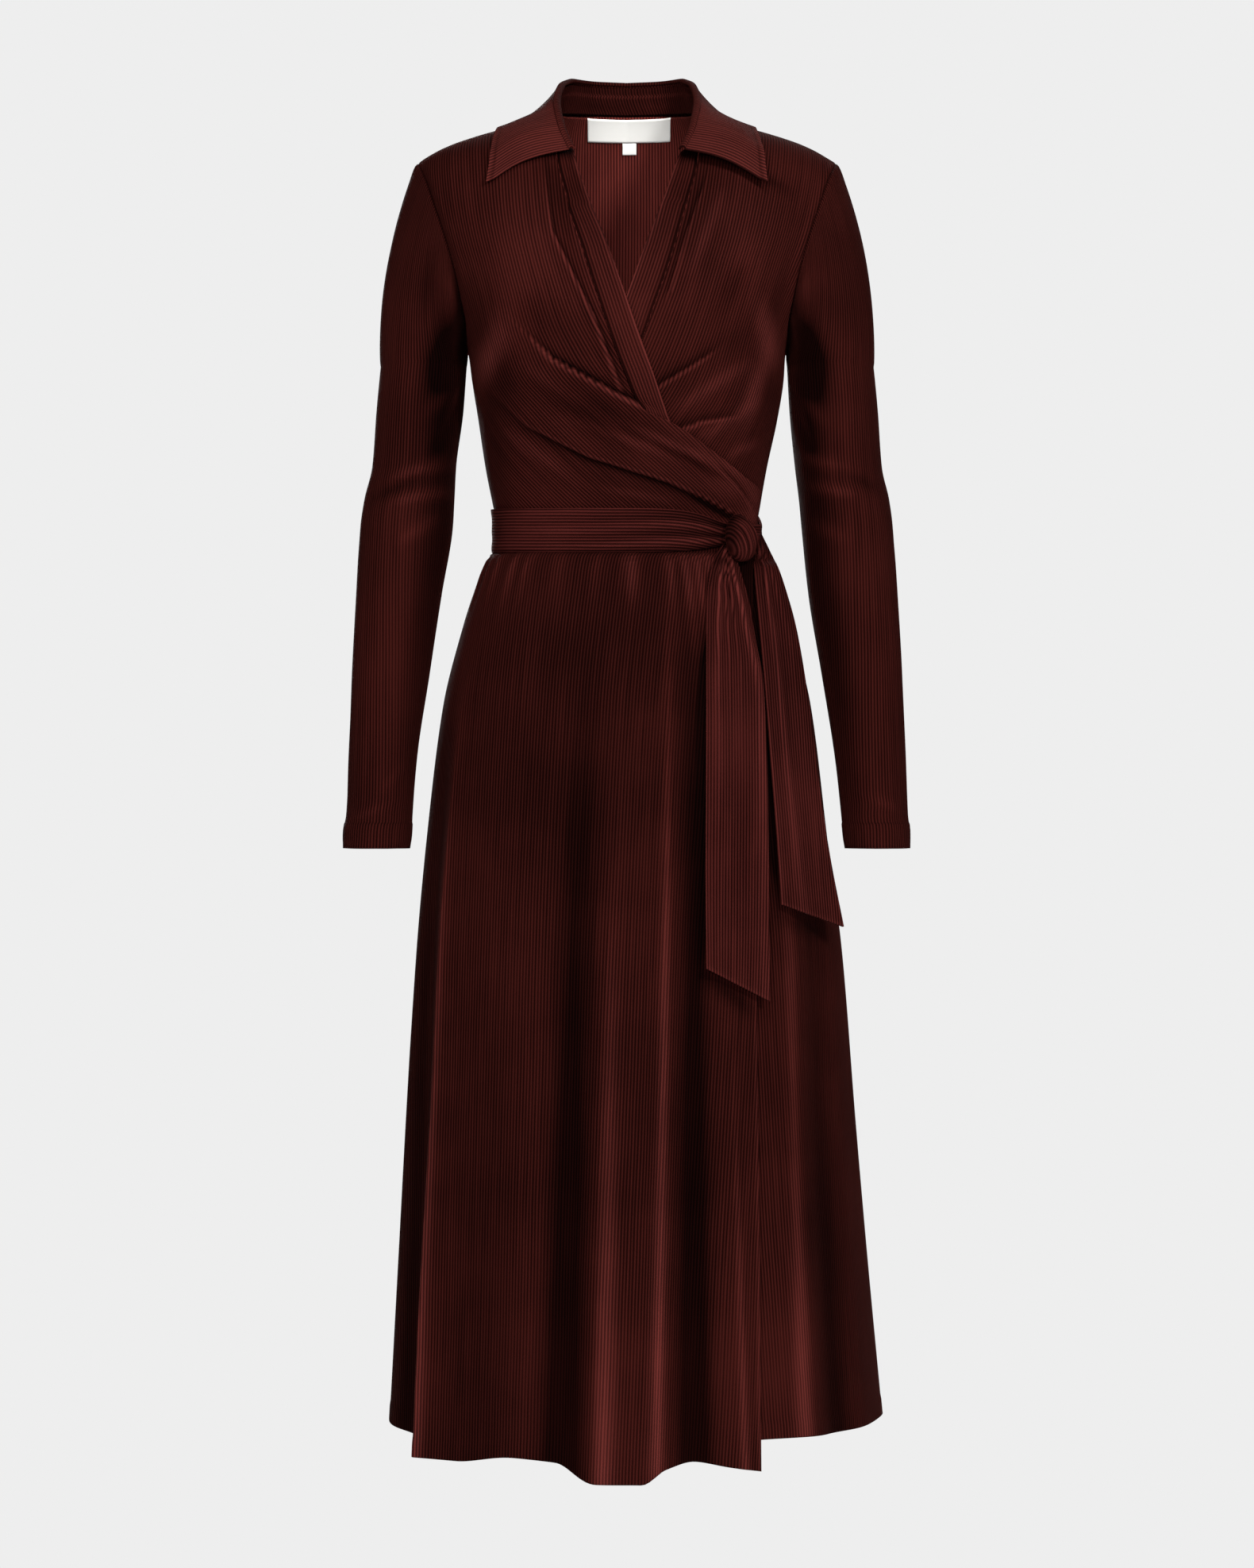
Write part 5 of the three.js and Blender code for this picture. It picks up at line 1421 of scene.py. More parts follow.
@dataclass
class Collar:
    """A spread collar: a low stand round the neck and a fall that rolls over it to two points."""

    cut: CollarCut
    wall: Wall
    velvet: bpy.types.Material
    # how far the leaf rolls out, how far it sinks in beside the neck, and where that is
    roll: float = 5.0
    hollow: float = 3.6
    hollow_at: tuple = (0.57, 0.2)
    fold_radius: float = 2.6
    # the stand ends a little short of the collar's front, and between its two lines
    stand_reach: float = 0.9
    stand_part: tuple = (0.04, 0.92)
    # the edge stitching's distance from the fall's edge
    stitches: float = 5.5

    @staticmethod
    def line(table: tuple, share: Array) -> Array:
        """Points of one of the collar's lines at signed shares of its half length."""
        x, y, z = (column(np.abs(share)) for column in curves(table))
        return np.stack([np.sign(share) * x, y, z], axis=-1)

    def stand(self) -> None:
        """Builds the stand between its seam and the fold, bowed by a sine, with the stitches inside it."""
        share = np.linspace(-self.stand_reach, self.stand_reach, 121)[None, :]
        t = uneven_steps(14, (0.03,), (0.27, 0.3, 0.33))[:, None]
        seam, fold = self.line(self.cut.seam, share), self.line(self.cut.fold, share)
        points = mix(seam, fold, mix(*self.stand_part, t)[..., None])
        bow = 0.8 * np.sin(math.pi * t) - 0.6 * sewn_line(t, 0.7, 0.05)
        outward = points * (1, 1, 0) / np.maximum(np.hypot(points[..., 0], points[..., 1]), 1.0)[..., None]
        points = points + outward * bow[..., None]
        mask = np.broadcast_to(0.15 * sewn_line(t, 0.7, 0.03), points.shape[:2])
        # painted light in a band near the stitch line, painted shade over the rest, with a faint wave along
        # it
        painted_light = 0.7 * sewn_line(t, 0.68, 0.11) - 0.4 + 0.15 * np.sin(9 * share) * bell(t - 0.3, 0.15)
        Shell("collar_stand", points, plain_weave(points), self.wall.collar, held=Hang.STRETCHED,
              seam=mask, painted_light=painted_light).build(self.velvet)

    def fall(self) -> None:
        """Builds the fall: a half circle over the stand's top, then a rolled leaf down to the edge.

        The leaf stands out as a sine between the fold and the edge, and sinks in beside the neck.
        """
        share = np.linspace(-1, 1, 181)[None, :]
        fold, edge = self.line(self.cut.fold, share), self.line(self.cut.edge, share)
        outward = unit((edge - fold) * (1, 1, 0))
        lean = np.linspace(math.pi, 0, 11)[:-1, None, None]
        over = fold + self.fold_radius * (outward * np.cos(lean) + UP * np.sin(lean))
        t = uneven_steps(38, (), (0.012, 0.03, 0.06))[:, None, None]
        far = np.abs(share)[..., None]
        roll = self.roll * np.sin(math.pi * np.minimum(1, t * 1.1)) * (1 - 0.2 * far)
        place, spread = self.hollow_at
        roll = mix(roll, -self.hollow * np.sin(math.pi * t ** 0.8), bell(far - place, spread))
        leaf = mix(fold + outward * self.fold_radius, edge, t) + outward * roll * 0.7 + UP * roll
        along = arc_lengths(np.broadcast_to(edge, leaf.shape), 1)
        wave = Hills(71, (20.0, 30.0), 0.9)(along, t[..., 0] * 60) * smooth(0.15, 0.9, t[..., 0])
        leaf = leaf + UP * wave[..., None] + outward * 0.6 * wave[..., None]
        points = np.concatenate([over, leaf])
        length = arc_lengths(points, 0)
        weave = np.stack([np.broadcast_to(arc_lengths(fold, 1), length.shape), length], axis=-1)
        from_edge = length[-1:] - length
        # painted shade in the turn over the stand, painted light on the leaf and along its edge, painted
        # shade in the stitch line
        painted_light = 0.75 * smooth(0, 12, length) + 0.35 * sewn_line(from_edge, 1.0, 1.6)
        painted_light = painted_light - 0.5 * bell(from_edge - self.stitches, 1.4)
        Shell("collar_fall", points, weave, self.wall.collar, held=Hang.DRAPED,
              seam=0.3 * sewn_line(from_edge, self.stitches, 1.1), painted_light=painted_light).build(self.velvet)


@dataclass(frozen=True)
class SkirtDrape:
    """Folds of the skirt by angle from the middle of the front, in degrees, and its hem line.

    A fold's row is its angle at the waist, its angle at the hem, the height where it starts, how far it
    stands out at the hem, how wide it spreads, and the power of its profile: 2 is round, less is sharper.
    A gather's row is its angle, height and length.
    """

    waist_z: float = -358.0
    hem_z: float = -1150.0
    folds: tuple = (
        (-60, -52, -480, 12, 4.2, 1.2), (-71, -66, -520, -17, 7.5, 2), (-30, -33, -700, -4, 13, 2),
        (-8, -12.5, -470, -11, 5.5, 2), (0, -4, -640, 7, 6, 2), (14, 4.5, -400, 10, 3.2, 1.3),
        (20.5, 12.3, -410, -12, 4.2, 2), (28, 23, -800, 5, 2.6, 1.5), (56, 40, -470, 7, 9, 2),
        (66, 57, -620, -8, 8, 2), (96, 92, -650, 8, 10, 2), (120, 114, -560, -9, 9, 2),
        (142, 137, -480, 10, 8, 1.6), (165, 161, -560, -9, 9, 2), (188, 185, -430, 10, 9, 1.6),
        (209, 208, -560, -9, 8, 2), (230, 233, -500, 9, 8, 1.6), (254, 260, -640, -7, 10, 2),
    )
    gathers: tuple = (
        (-74, 1.6, 60), (-66, 1.2, 44), (-58, 1.6, 52), (-47, 2.0, 56), (-39, 1.5, 44), (-24, 0.8, 36),
        (-10, 1.0, 44), (1, 2.4, 66), (13.6, 2.0, 90), (19.5, 2.6, 96), (24.6, 2.4, 110), (29.5, 2.6, 90),
        (33.6, 2.2, 110), (120, 1.2, 50), (130, 1.6, 62), (146, 1.2, 54), (160, 1.8, 72), (178, 1.1, 50),
        (205, 1.8, 68), (220, 1.2, 48), (232, 1.6, 56),
    )
    gather_spread: float = 2.2
    # heights between which the gathers come out from under the belt
    gather_top: tuple = (-376.0, -392.0)
    # painted shadows under, beside and below the tails of the belt, and along the belt's lower edge
    shadows: tuple = (
        Crease((78, -372), (64, -560), -2.4, 5.5), Crease((65, -430), (64, -748), -2.2, 4.5),
        Crease((101, -352), (118, -520), -7.0, 8.0), Crease((113, -440), (130, -700), -4.0, 6.0),
        Crease((62, -735), (112, -778), -1.6, 8.0), Crease((136, -750), (160, -1060), -1.0, 15.0),
        Crease((124, -690), (186, -716), -1.2, 7.0), Crease((-130, -374), (90, -379), -1.6, 4.0),
    )
    hem: tuple = ((-180, -1146), (-90, -1134), (-62, -1140), (-54, -1150), (-40, -1149), (-24, -1142),
                  (-14, -1145), (-5, -1161), (2, -1161), (6, -1149), (12, -1144), (20, -1149), (31, -1156))
    under_hem: tuple = ((-24, -1130), (30, -1128), (60, -1132), (90, -1134), (180, -1146))

    def fold_terms(self, degrees: Array, z: Array, narrow: float = 1.0) -> list[Array]:
        """Height of each fold: height growth^0.7 exp(-(gap / spread)^power), growing from its start down.

        Args:
            degrees: Angles from the middle of the front.
            z: Heights.
            narrow: Share of each fold's spread that is used.

        Returns:
            One array for each fold.
        """
        down = np.clip((z - self.waist_z) / (self.hem_z - self.waist_z), 0, 1)
        terms = []
        for waist, hem, start, height, spread, power in self.folds:
            growth = np.clip((start - z) / (start - self.hem_z), 0, 1) ** 0.7
            gap = np.abs(degree_gap(degrees, mix(waist, hem, np.sqrt(down)))) / (spread * narrow)
            terms.append(height * growth * np.exp(-(gap ** power)))
        return terms

    def gathered(self, degrees: Array, z: Array) -> Array:
        """Height of the small gathers let into the waist seam, each a bell that fades down its length.

        Args:
            degrees: Angles from the middle of the front.
            z: Heights.

        Returns:
            How far the cloth stands out.
        """
        total = np.zeros(np.broadcast(degrees, z).shape)
        belt_edge, below = self.gather_top
        for angle, height, length in self.gathers:
            fade = smooth(belt_edge, below, z) * (1 - smooth(0, length, below - z))
            total += height * fade * bell(degree_gap(degrees, angle), self.gather_spread)
        return total

    def height(self, degrees: Array, z: Array) -> Array:
        """How far the folds and gathers stand out from the plain form at each place."""
        return sum(self.fold_terms(degrees, z)) + self.gathered(degrees, z)

    def painted_light(self, degrees: Array, z: Array, x: Array) -> Array:
        """A narrow painted highlight on each crest, painted shade in valleys and sides, painted tail
        shadows.

        Args:
            degrees: Angles from the middle of the front.
            z: Heights.
            x: Distances from the middle.

        Returns:
            The nap of each place.
        """
        narrow, broad = self.fold_terms(degrees, z, 0.3), self.fold_terms(degrees, z, 0.9)
        light = sum(np.maximum(term, 0.0) for term in narrow)
        dark = sum(np.minimum(term, 0.0) for term in broad)
        # painted shade on the wearer's right side of the front, painted shadows on the front, painted shade
        # over the upper skirt, and painted light on the gathers
        side = smooth(-56, -66, degrees) * smooth(-440, -620, z) * smooth(-110, -86, degrees)
        front = np.where(np.abs(degree_gap(degrees, 0.0)) < 90, 1.0, 0.0)
        shade = front * sum(shadow.painted_light(x, z) for shadow in self.shadows)
        upper = 0.02 + 0.1 * smooth(-1050, -850, z) + 0.24 * smooth(-780, -560, z) * front
        total = 0.17 * light + 0.13 * dark + 0.35 * self.gathered(degrees, z) - 0.75 * side - upper
        return np.clip(total, -0.95, 1.3) + shade


@dataclass(frozen=True)
class SkirtPanel:
    """One panel of the skirt: its angle at both edges by height, its hem by degrees, its layer's offset.

    The ribs are counted from the middle, in degrees.
    """

    node: str
    start: Callable[[Array], Array]
    end: Callable[[Array], Array]
    hem: Callable[[Array], Array]
    layer: Callable[[Array], Array]
    middle: float
    columns: int
    rows: int
    free_start: bool = False
    free_end: bool = False


@dataclass
class Skirt:
    """The flared skirt: a back, an over front that wraps to the wearer's left, and an under front."""

    form: BodyForm
    layers: Layers
    wall: Wall
    velvet: bpy.types.Material
    drape: SkirtDrape = SkirtDrape()
    bottom_z: float = -1146.0
    length: float = 790.0
    hem_turn: float = 15.0
    seam_gap: float = 0.3
    # how far the gathered cloth swells out below the belt, and how much closer its first rows lie
    swell: float = 4.6
    crowding: float = 1.18
    # height, x of the free edge
    over_edge: tuple = ((-358, 108.5), (-385, 106), (-860, 109), (-1160, 110))
    under_edge: tuple = ((-358, -70), (-1160, -84))

    def edge_angle(self, table: tuple) -> Callable[[Array], Array]:
        """Angle of a free front edge at each height, from its table of x."""
        line = curves(table)[0]
        return lambda z: self.form.angle_of(line(z), z)

    def side_seam(self, turns: int, inward: int) -> Callable[[Array], Array]:
        """A side seam: a number of quarter turns, less half a seam gap at each height."""
        side = math.sin(turns * math.pi / 2)
        return lambda z: turns * math.pi / 2 + inward * self.seam_gap / 2 / self.form.half_width(side, z)

    def panels(self) -> list[SkirtPanel]:
        """Lays out the panels. The back's hem joins both fronts' hems at the sides.

        Returns:
            The over front, the under front and the back.
        """
        hem, under_hem = curves(self.drape.hem)[0], curves(self.drape.under_hem)[0]
        whole = curves(self.drape.hem + tuple(row for row in self.drape.under_hem if row[0] > 31))[0]
        return [
            SkirtPanel("right_front_skirt", self.side_seam(-1, 1), self.edge_angle(self.over_edge),
                       hem, self.layers.over, -20.0, 172, 176, free_end=True),
            SkirtPanel("left_front_skirt", self.edge_angle(self.under_edge), self.side_seam(1, -1),
                       under_hem, self.layers.under, 40.0, 104, 150, free_start=True),
            SkirtPanel("back_skirt", self.side_seam(1, 1), self.side_seam(3, -1),
                       lambda degrees: whole(degree_gap(degrees, 0.0)), lambda angle: 0.0 * angle,
                       180.0, 150, 160),
        ]

    def build(self, panel: SkirtPanel) -> None:
        """Builds one panel from the waist seam to its hem, in rows that grow longer on the way down.

        Args:
            panel: Its edges, hem and layer.
        """
        turn = self.hem_turn / self.length
        down = uneven_steps(panel.rows, (0.002, 0.005), (0.002, turn - 0.0012, turn, turn + 0.0012))
        down = down ** self.crowding
        s = uneven_steps(panel.columns, (0.003, 0.006), (0.003, 0.006))[None, :]
        top = self.form.waist_z - self.seam_gap
        height = mix(top, self.bottom_z, down)[:, None]
        angle = mix(panel.start(height), panel.end(height), s)
        degrees = np.degrees(angle)
        points = self.form.skirt(angle, mix(top, panel.hem(degrees), down[:, None]))
        z = points[..., 2]
        width, length = arc_lengths(points, 1), arc_lengths(points, 0)
        start_gap, end_gap, hem_gap = width, width[:, -1:] - width, length[-1:] - length
        # distances to the sewn and to the free edges, infinite where a panel has none
        sewn = np.minimum(np.inf if panel.free_start else start_gap, np.inf if panel.free_end else end_gap)
        free = np.minimum(start_gap if panel.free_start else np.inf, end_gap if panel.free_end else np.inf)
        free = np.broadcast_to(free, z.shape)
        turned = 0.5 * smooth(self.hem_turn + 0.8, self.hem_turn - 0.8, np.minimum(hem_gap, free))
        hills = Hills(91 + panel.columns, (30.0, 210.0), 0.9)(width, z) * smooth(-392, -440, z)
        level = z + 5.0 * np.maximum(0, np.cos(angle))
        swell = self.swell * smooth(-375.4, -378.6, level) * smooth(-392, -385, z)
        amount = panel.layer(angle) + self.drape.height(degrees, z) + swell
        amount = amount + hills * np.clip(sewn / 25, 0, 1) + along_seam(sewn) + turned
        points = lift_outward(points, amount, self.form.waist_z)
        arc = arc_lengths(points, 1)
        middle = [np.interp(panel.middle, row, along) for row, along in zip(degrees, arc)]
        weave = np.stack([arc - np.array(middle)[:, None], -points[..., 2]], axis=-1)
        mask = np.maximum(seam_mask(sewn), 0.4 * sewn_line(np.minimum(hem_gap, free), self.hem_turn, 1.3))
        # painted light and shade of the drape, and a painted highlight along a free edge
        painted_light = self.drape.painted_light(degrees, z, points[..., 0]) + 0.5 * sewn_line(free, 1.5, 2.4)
        Shell(panel.node, points, weave, self.wall.skirt, seam=mask, painted_light=painted_light,
              reverse=True).build(self.velvet)


@dataclass(frozen=True)
class TailCut:
    """Edges of a belt tail seen from the front, and how far it stands off the skirt.

    A row is the share of the length, left and right x, left and right z, stand-off, and how far the
    right edge turns back. A pleat's row is its share of the width, spread, height, and the share of the
    length over which it fades.
    """

    node: str
    rows: tuple
    pleats: tuple
    seed: int


FRONT_TAIL = TailCut("belt_tail_front", (
    (0, 83, 92, -373, -376, 13, 0), (0.03, 77.7, 94, -381, -385, 13, 0),
    (0.07, 71.5, 98.5, -398, -402, 12, 0), (0.12, 68.8, 104, -417, -421, 11, 0),
    (0.2, 67.8, 110, -452, -457, 9, 0), (0.3, 67.6, 115.5, -484, -488, 9, 0),
    (0.4, 67.4, 118, -525, -530, 9, 0), (0.55, 67, 119.5, -588, -596, 10, 0),
    (0.75, 66.5, 120, -655, -670, 11, 0), (1, 67, 120.5, -735, -763, 12, 0)),
    ((0.2, 0.075, 4.6, 0.34), (0.43, 0.055, 3.0, 0.26), (0.63, 0.05, 3.6, 0.2), (0.93, 0.09, 4.6, 0.7)), 5)
SIDE_TAIL = TailCut("belt_tail_side", (
    (0, 107.5, 117, -366, -362, 12, 3), (0.05, 109.5, 126, -384, -380, 11, 8),
    (0.12, 111.5, 136, -410, -407, 8, 13), (0.25, 115, 147, -450, -448, 6, 20),
    (0.45, 120.5, 158, -520, -520, 6, 27), (0.65, 125, 166, -580, -586, 7, 32),
    (0.82, 128.7, 175, -632, -645, 8, 34), (1, 132, 186, -682, -702, 9, 36)),
    ((0.34, 0.07, 3.0, 1.1), (0.78, 0.12, 1.6, 0.5)), 6)


@dataclass
class Belt:
    """The dress's own tie belt: a soft ring round the waist, its knot and two hanging tails."""

    form: BodyForm
    layers: Layers
    wall: Wall
    drape: SkirtDrape
    velvet: bpy.types.Material
    middle_z: float = -356.5
    # how much lower the ring hangs in front, and how much lower beside the knot
    front_drop: float = 5.0
    knot_drop: float = 4.0
    half_height: float = 18.8
    knot_half_height: float = 8.6
    # where the knot sits round the waist, and over how many degrees the ring narrows towards it
    knot_angle: float = 48.0
    pinch: float = 20.0
    stand_off: float = 2.7
    # the knot's seat on the form as x and z, its whole depth and the half depth of its rings
    knot_seat: tuple = (86.0, -368.0)
    knot_thickness: float = 25.0
    knot_depth: float = 11.0
    knot_fold: float = 6.6
    # the knot's outline: direction in degrees, sideways and up from its middle
    outline: tuple = (
        (0, 14.2, 1.5), (40, 12, 10), (75, 4.5, 17), (100, -3, 21), (125, -9, 18.5), (155, -13.5, 9),
        (180, -14.2, 1), (215, -12.6, -7), (245, -8, -15.5), (275, 0, -20), (305, 8.5, -18),
        (335, 13.6, -9.5), (360, 14.2, 1.5))

    def ring(self) -> None:
        """Builds the ring, whose lengthwise creases deepen towards the knot.

        The creases are a cosine across the belt, raised to 1.4, that drifts slowly along it.
        """
        t = uneven_steps(34, (0.01,), (0.01,))[:, None]
        angle = np.linspace(-math.pi, math.pi, 261)[None, :-1]
        past = degree_gap(np.degrees(angle), self.knot_angle)
        near = np.where(past < 0, bell(past, self.pinch), 1 - smooth(34, 66, past))
        wide = np.where(past < 0, bell(past, 46.0), bell(past, 16.0))
        half = mix(self.half_height, self.knot_half_height, near)
        middle = self.middle_z - self.front_drop * np.maximum(0, np.cos(angle)) - self.knot_drop * near
        points = self.form.skirt(angle, middle + half * (1 - 2 * t))
        over = self.layers.over(angle) * (1 - smooth(math.radians(68), math.radians(84), angle))
        drift = 0.5 * np.sin(1.7 * angle + 0.6) + 0.3 * np.sin(4.1 * angle)
        ridge = (0.5 + 0.5 * np.cos(2 * math.pi * (2.4 * t ** 1.15 + 0.3 * drift))) ** 1.4
        crease = (2.3 * wide + 0.3) * ridge
        slow = 0.4 * (0.5 + 0.5 * np.cos(2 * math.pi * (1.3 * t + 0.9 * drift)))
        edge = -0.5 * (np.abs(2 * t - 1) ** 6)
        amount = over * 1.1 + self.stand_off + crease + slow + edge
        points = points + unit(points * (1, 1, 0)) * amount[..., None]
        loop = closed(points)
        weave = np.stack([arc_lengths(loop, 0), arc_lengths(loop, 1)], axis=-1)
        # painted light and shade across the creases, painted shade along the lower edge and just before the
        # knot
        painted_light = np.minimum((ridge - 0.6) * (1.1 * wide + 0.05), 0.15) - 0.35 * bell(t - 1, 0.06) + 0.06
        painted_light = painted_light - 0.5 * bell(past + 6, 9)
        Shell("waist_belt", points, weave, self.wall.belt, held=Hang.STRETCHED, slot=Slot.BELT, ring=True,
              painted_light=painted_light).build(self.velvet)

    def knot(self) -> None:
        """Builds the knot: one turn of the belt that bulges over its own crossing, folded lengthwise.

        It is a stack of rings from its back to its front. Each ring is the outline times cos(lift)^0.8, at
        a depth of sin(lift). The folds are a cosine across the slant, bent into arcs.
        """
        seat_x, seat_z = self.knot_seat
        angle = float(self.form.angle_of(seat_x, seat_z))
        along = self.form.skirt(angle + 0.03, seat_z) - self.form.skirt(angle - 0.03, seat_z)
        normal = unit(np.array([along[1], -along[0], 0.0]))
        under = self.layers.step + self.wall.bodice + self.wall.belt + 0.9
        centre = self.form.skirt(angle, seat_z) + normal * (under + self.knot_thickness / 2)
        sideways = np.cross(UP, normal)
        turn = np.linspace(0, 2 * math.pi, 129)[None, :-1]
        lift = np.linspace(-math.pi / 2, math.pi / 2, 61)[:, None] * 0.985
        side, up = (column(np.degrees(turn)) for column in curves(self.outline))
        share = np.cos(lift) ** 0.8
        a, c = share * side, share * up
        # across and along the folds, which run from the upper left to the lower right
        across, along = 0.86 * a + 0.51 * c, 0.51 * a - 0.86 * c
        bent = across + 0.011 * (along + 4) ** 2
        fold = np.cos(2 * math.pi * (bent - 1.5) / self.knot_fold)
        front = smooth(-0.3, 0.5, lift) * smooth(0.0, 0.5, 1 - share)
        b = self.knot_depth * np.sin(lift) + 1.1 * fold * front + 2.4 * front * smooth(-4, 9, bent)
        points = centre + a[..., None] * sideways + b[..., None] * normal + c[..., None] * UP
        # painted light and shade on the folds, painted shade down its left side in the front view and along
        # its top
        painted_light = 0.26 * fold * front - 0.6 * bell(a + 13, 4) - 0.7 * bell(c - 19, 4.5) - 0.12
        piece = solid_of_rings("belt_knot", points, closed(np.stack([bent, along], -1)), painted_light, self.velvet)
        hand_over(piece, "belt_knot")

    def tail(self, cut: TailCut) -> None:
        """Builds a hanging tail, with pleats that leave the knot and fade on the way down.

        Each pleat is a bell across the width times exp(-(v / fade)^1.5).

        Args:
            cut: Its edges and pleats.
        """
        v = uneven_steps(150, (), (0.003, 0.012))[:, None]
        s = uneven_steps(38, (0.012,), (0.012,))[None, :]
        left, right, left_z, right_z, off, turn = (column(v) for column in curves(cut.rows))
        x, z = mix(left, right, s), mix(left_z, right_z, s)
        # the side tail turns back round the hip, so it stays as far out as its inner edge
        base = np.broadcast_to(left, x.shape) if cut.rows[0][-1] else x
        fold = np.maximum(0, self.drape.height(np.degrees(self.form.angle_of(base, z)), z))
        ripple = sum(height * bell(s - mix(0.5, at, smooth(-0.3, 0.35, v)), spread * mix(0.7, 1.5, v))
                     * np.exp(-(v / fade) ** 1.5) for at, spread, height, fade in cut.pleats)
        hills = Hills(cut.seed, (14.0, 90.0), 0.8)((s - 0.5) * (right - left), z) * smooth(0, 0.1, v)
        depth = self.form.depth(base, z) - off - fold - ripple + 1.5 - hills + turn * s
        points = np.stack([x, depth, z], axis=-1)
        # painted light on the pleats, along both edges and at the end, painted shade near the knot
        painted_light = 0.2 * (ripple - 1.8 * np.exp(-(v / 0.4) ** 2)) + 0.3 * bell(s, 0.03) + 0.25 * bell(s - 1, 0.03)
        painted_light = painted_light + 0.3 * bell(v - 1, 0.008) - 0.5 * bell(v, 0.05)
        Shell(cut.node, points, plain_weave(points), self.wall.belt, slot=Slot.BELT,
              painted_light=painted_light).build(self.velvet)


def solid_of_rings(node: str, points: Array, weave: Array, painted_light: Array,
                   material: bpy.types.Material) -> bpy.types.Object:
    """Closes a stack of rings into one solid, with a flat face at each end.

    Args:
        node: Name of the node that it stands for.
        points: Rings of points, in millimetres.
        weave: Weave map, with one column more than the points.
        painted_light: Painted light and shade at each point.
        material: Its finish.

    Returns:
        The new object.
    """
    rings, around = points.shape[:2]
    index = np.arange(rings * around).reshape(rings, around)
    cells = np.arange(rings * (around + 1)).reshape(rings, around + 1)

    def quads(grid: Array) -> Array:
        """Quads between neighbouring rings."""
        return np.stack([grid[:-1, :-1], grid[:-1, 1:], grid[1:, 1:], grid[1:, :-1]], -1).reshape(-1, 4)

    faces = quads(closed(index)).tolist() + [index[0, ::-1].tolist(), index[-1].tolist()]
    flat = weave.reshape(-1, 2)
    corners = np.concatenate([flat[quads(cells).ravel()], flat[cells[0, :-1][::-1]], flat[cells[-1, :-1]]])
    return mesh_object(node, points.reshape(-1, 3), faces, corners, {"painted_light": np.ravel(painted_light)}, material)


@dataclass(frozen=True)
class LabelCut:
    """A flat woven label inside the back of the neck: middle, width, top, bottom and how far in it lies."""

    node: str
    x: float
    width: float
    top: float
    bottom: float
    inset: float


LABELS = (LabelCut("neck_label", 1.8, 74.0, 15.6, -1.9, 2.9),
          LabelCut("size_tab", 2.2, 12.4, -2.2, -11.5, 2.6))


def build_label(cut: LabelCut, form: BodyForm, wall: Wall, tape: bpy.types.Material) -> None:
    """Builds a blank label that lies on the back and bows in by sin(pi s) sin(pi t) between its edges.

    Args:
        cut: Its place and size.
        form: The form that it lies inside.
        wall: Thickness of its tape.
        tape: Its finish.
    """
    s, t = np.linspace(0, 1, 41)[None, :], np.linspace(0, 1, 13)[:, None]
    x, z = np.broadcast_arrays(cut.x + cut.width * (s - 0.5), mix(cut.top, cut.bottom, t))
    bow = 0.5 * np.sin(math.pi * s) * np.sin(math.pi * t)
    points = np.stack([x, form.depth(x, z, True) - cut.inset - bow, z], axis=-1)
    Shell(cut.node, points, plain_weave(points), wall.label, slot=Slot.LABEL).build(tape)


@dataclass(frozen=True)
class Lamp:
    """A soft rectangular lamp: where it stands, what it points at, its side and its power."""

    name: str
    place: tuple
    target: tuple
    size: float
    power: float


def for_camera(n: Nodes, light: bpy.types.NodeSocket, seen: bpy.types.NodeSocket) -> bpy.types.NodeSocket:
    """Mixes two shaders: one that the camera sees, and one that lights and is met by all other rays."""
    camera = n.add("ShaderNodeLightPath").outputs["Is Camera Ray"]
    return n.add("ShaderNodeMixShader", {0: camera, 1: light, 2: seen}).outputs[0]


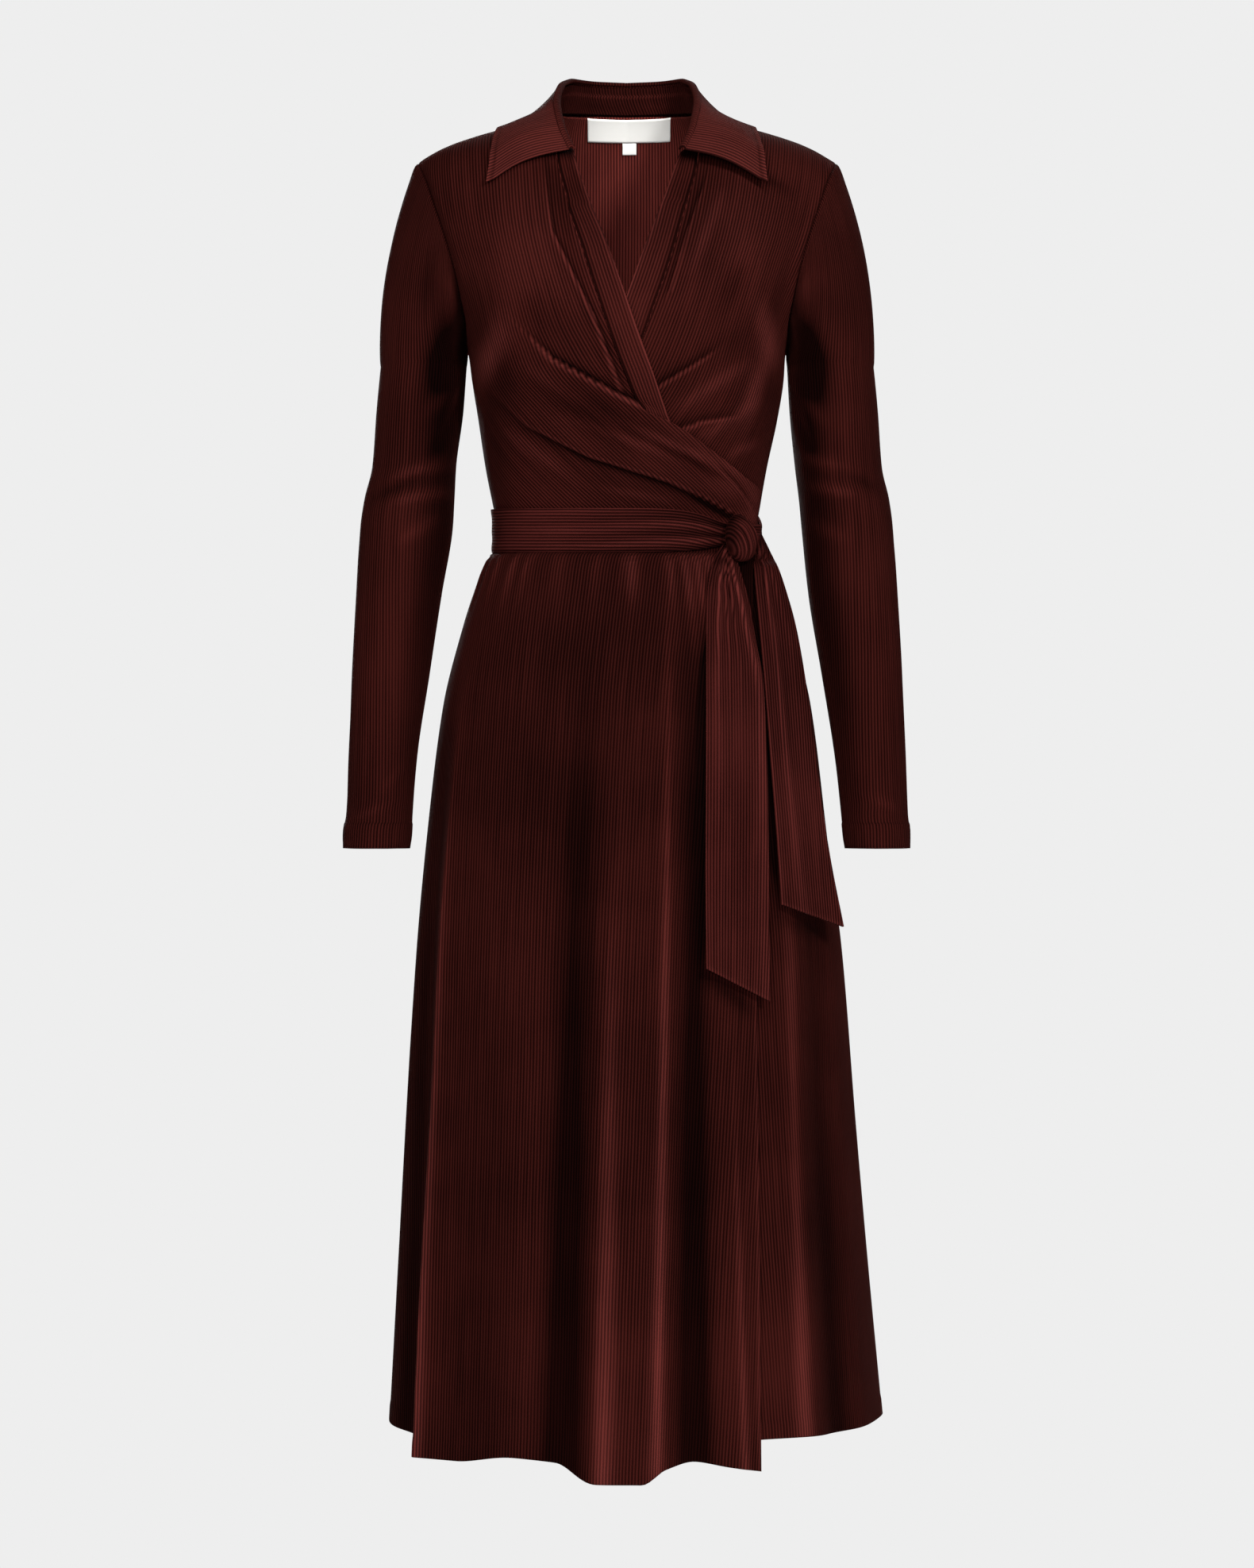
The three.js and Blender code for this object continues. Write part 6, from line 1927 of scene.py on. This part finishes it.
@dataclass
class Studio:
    """Pale floor, soft lamps and the camera of the photograph."""

    backdrop: tuple = (0.855, 0.855, 0.855, 1.0)
    ambient_color: tuple = (1.0, 0.98, 0.97, 1.0)
    ambient: float = 0.09
    floor_color: tuple = (0.62, 0.62, 0.62, 1.0)
    floor_z: float = -1.42
    floor_half: float = 3.0
    lamps: tuple = (
        Lamp("key", (1.5, -2.9, 1.15), (0.02, 0, -0.5), 0.55, 118),
        Lamp("front", (-0.7, -3.5, 0.1), (0, 0, -0.5), 1.3, 82),
        Lamp("high", (-0.2, -2.1, 2.1), (0, 0, -0.1), 0.8, 42),
        Lamp("low", (0.0, -3.4, -1.1), (0, 0, -0.95), 1.0, 26),
        Lamp("back", (-0.6, 3.2, 0.5), (0, 0, -0.5), 1.4, 120),
        Lamp("back_high", (0.5, 2.2, 1.8), (0, 0, -0.3), 1.2, 62),
    )
    camera_place: tuple = (0.0, -3.3, -0.57925)
    frame_height: float = 1.3825
    sensor: float = 24.0

    def build(self) -> None:
        """Puts the stage together."""
        self.world()
        self.floor()
        for lamp in self.lamps:
            self.lamp(lamp)
        self.camera()
        bpy.context.scene.view_settings.view_transform = "Standard"

    def world(self) -> None:
        """World that the camera sees as the pale backdrop, and that lights the dress more dimly."""
        world = bpy.data.worlds.new("studio")
        world.use_nodes = True
        world.node_tree.nodes.clear()
        n = Nodes(world.node_tree)
        light = n.add("ShaderNodeBackground", {0: self.ambient_color, 1: self.ambient})
        seen = n.add("ShaderNodeBackground", {0: self.backdrop, 1: 1.0})
        n.add("ShaderNodeOutputWorld", {0: for_camera(n, light.outputs[0], seen.outputs[0])})
        bpy.context.scene.world = world

    def floor(self) -> None:
        """Plain pale floor that runs into the backdrop."""
        material, n = new_material("pale_floor")
        plain = n.add("ShaderNodeBsdfDiffuse", {0: self.floor_color})
        seen = n.add("ShaderNodeEmission", {0: self.backdrop, 1: 1.0})
        n.add("ShaderNodeOutputMaterial", {0: for_camera(n, plain.outputs[0], seen.outputs[0])})
        half = self.floor_half
        square = ((-half, -half), (half, -half), (half, half), (-half, half))
        corners = [(x, y, self.floor_z) for x, y in square]
        mesh = bpy.data.meshes.new("floor")
        mesh.from_pydata(corners, [], [(0, 1, 2, 3)])
        mesh.materials.append(material)
        floor = bpy.data.objects.new("floor", mesh)
        bpy.context.scene.collection.objects.link(floor)

    def lamp(self, lamp: Lamp) -> None:
        """Adds one area lamp that the camera can't see.

        Args:
            lamp: Its place, target, size and power.
        """
        data = bpy.data.lights.new(lamp.name, "AREA")
        data.size = lamp.size
        data.energy = lamp.power
        light = bpy.data.objects.new(lamp.name, data)
        light.location = lamp.place
        aim = Vector(lamp.target) - Vector(lamp.place)
        light.rotation_euler = aim.to_track_quat("-Z", "Y").to_euler()
        light.visible_camera = False
        bpy.context.scene.collection.objects.link(light)

    def camera(self) -> None:
        """Level camera at the photograph's distance: lens = sensor distance / height of the framed plane."""
        data = bpy.data.cameras.new("photo_camera")
        data.sensor_fit = "VERTICAL"
        data.sensor_height = self.sensor
        data.lens = self.sensor * abs(self.camera_place[1]) / self.frame_height
        camera = bpy.data.objects.new("photo_camera", data)
        camera.location = self.camera_place
        camera.rotation_euler = (math.pi / 2, 0.0, 0.0)
        bpy.context.scene.collection.objects.link(camera)
        bpy.context.scene.camera = camera


def main() -> None:
    """Builds the whole dress and its studio."""
    logging.basicConfig(level=logging.INFO, format="%(name)s: %(message)s")
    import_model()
    group = RibPile().group()
    velvet = RibbedVelvet("ribbed_velvet_cloth").make(group)
    belt_velvet = RibbedVelvet("ribbed_velvet_belt_cloth", crest=(0.042, 0.0074, 0.0062, 1.0)).make(group)
    tape = WovenTape().make()
    form, layers, wall = BodyForm(), Layers(), Wall()
    Studio().build()

    bodice = Bodice(form, layers, wall, velvet)
    bodice.back()
    for cut in (OVER_CUT, UNDER_CUT):
        bodice.front(cut)
    for cut in (OVER_CUT, UNDER_CUT):
        bodice.band(cut)
    for cut in (RIGHT_SLEEVE, LEFT_SLEEVE):
        Sleeve(bodice, cut).build()
    collar = Collar(CollarCut(), wall, velvet)
    collar.stand()
    collar.fall()
    skirt = Skirt(form, layers, wall, velvet)
    for panel in skirt.panels():
        skirt.build(panel)
    belt = Belt(form, layers, wall, skirt.drape, belt_velvet)
    belt.ring()
    belt.knot()
    for cut in (FRONT_TAIL, SIDE_TAIL):
        belt.tail(cut)
    for cut in LABELS:
        build_label(cut, form, wall, tape)


if __name__ == "__main__":
    main()
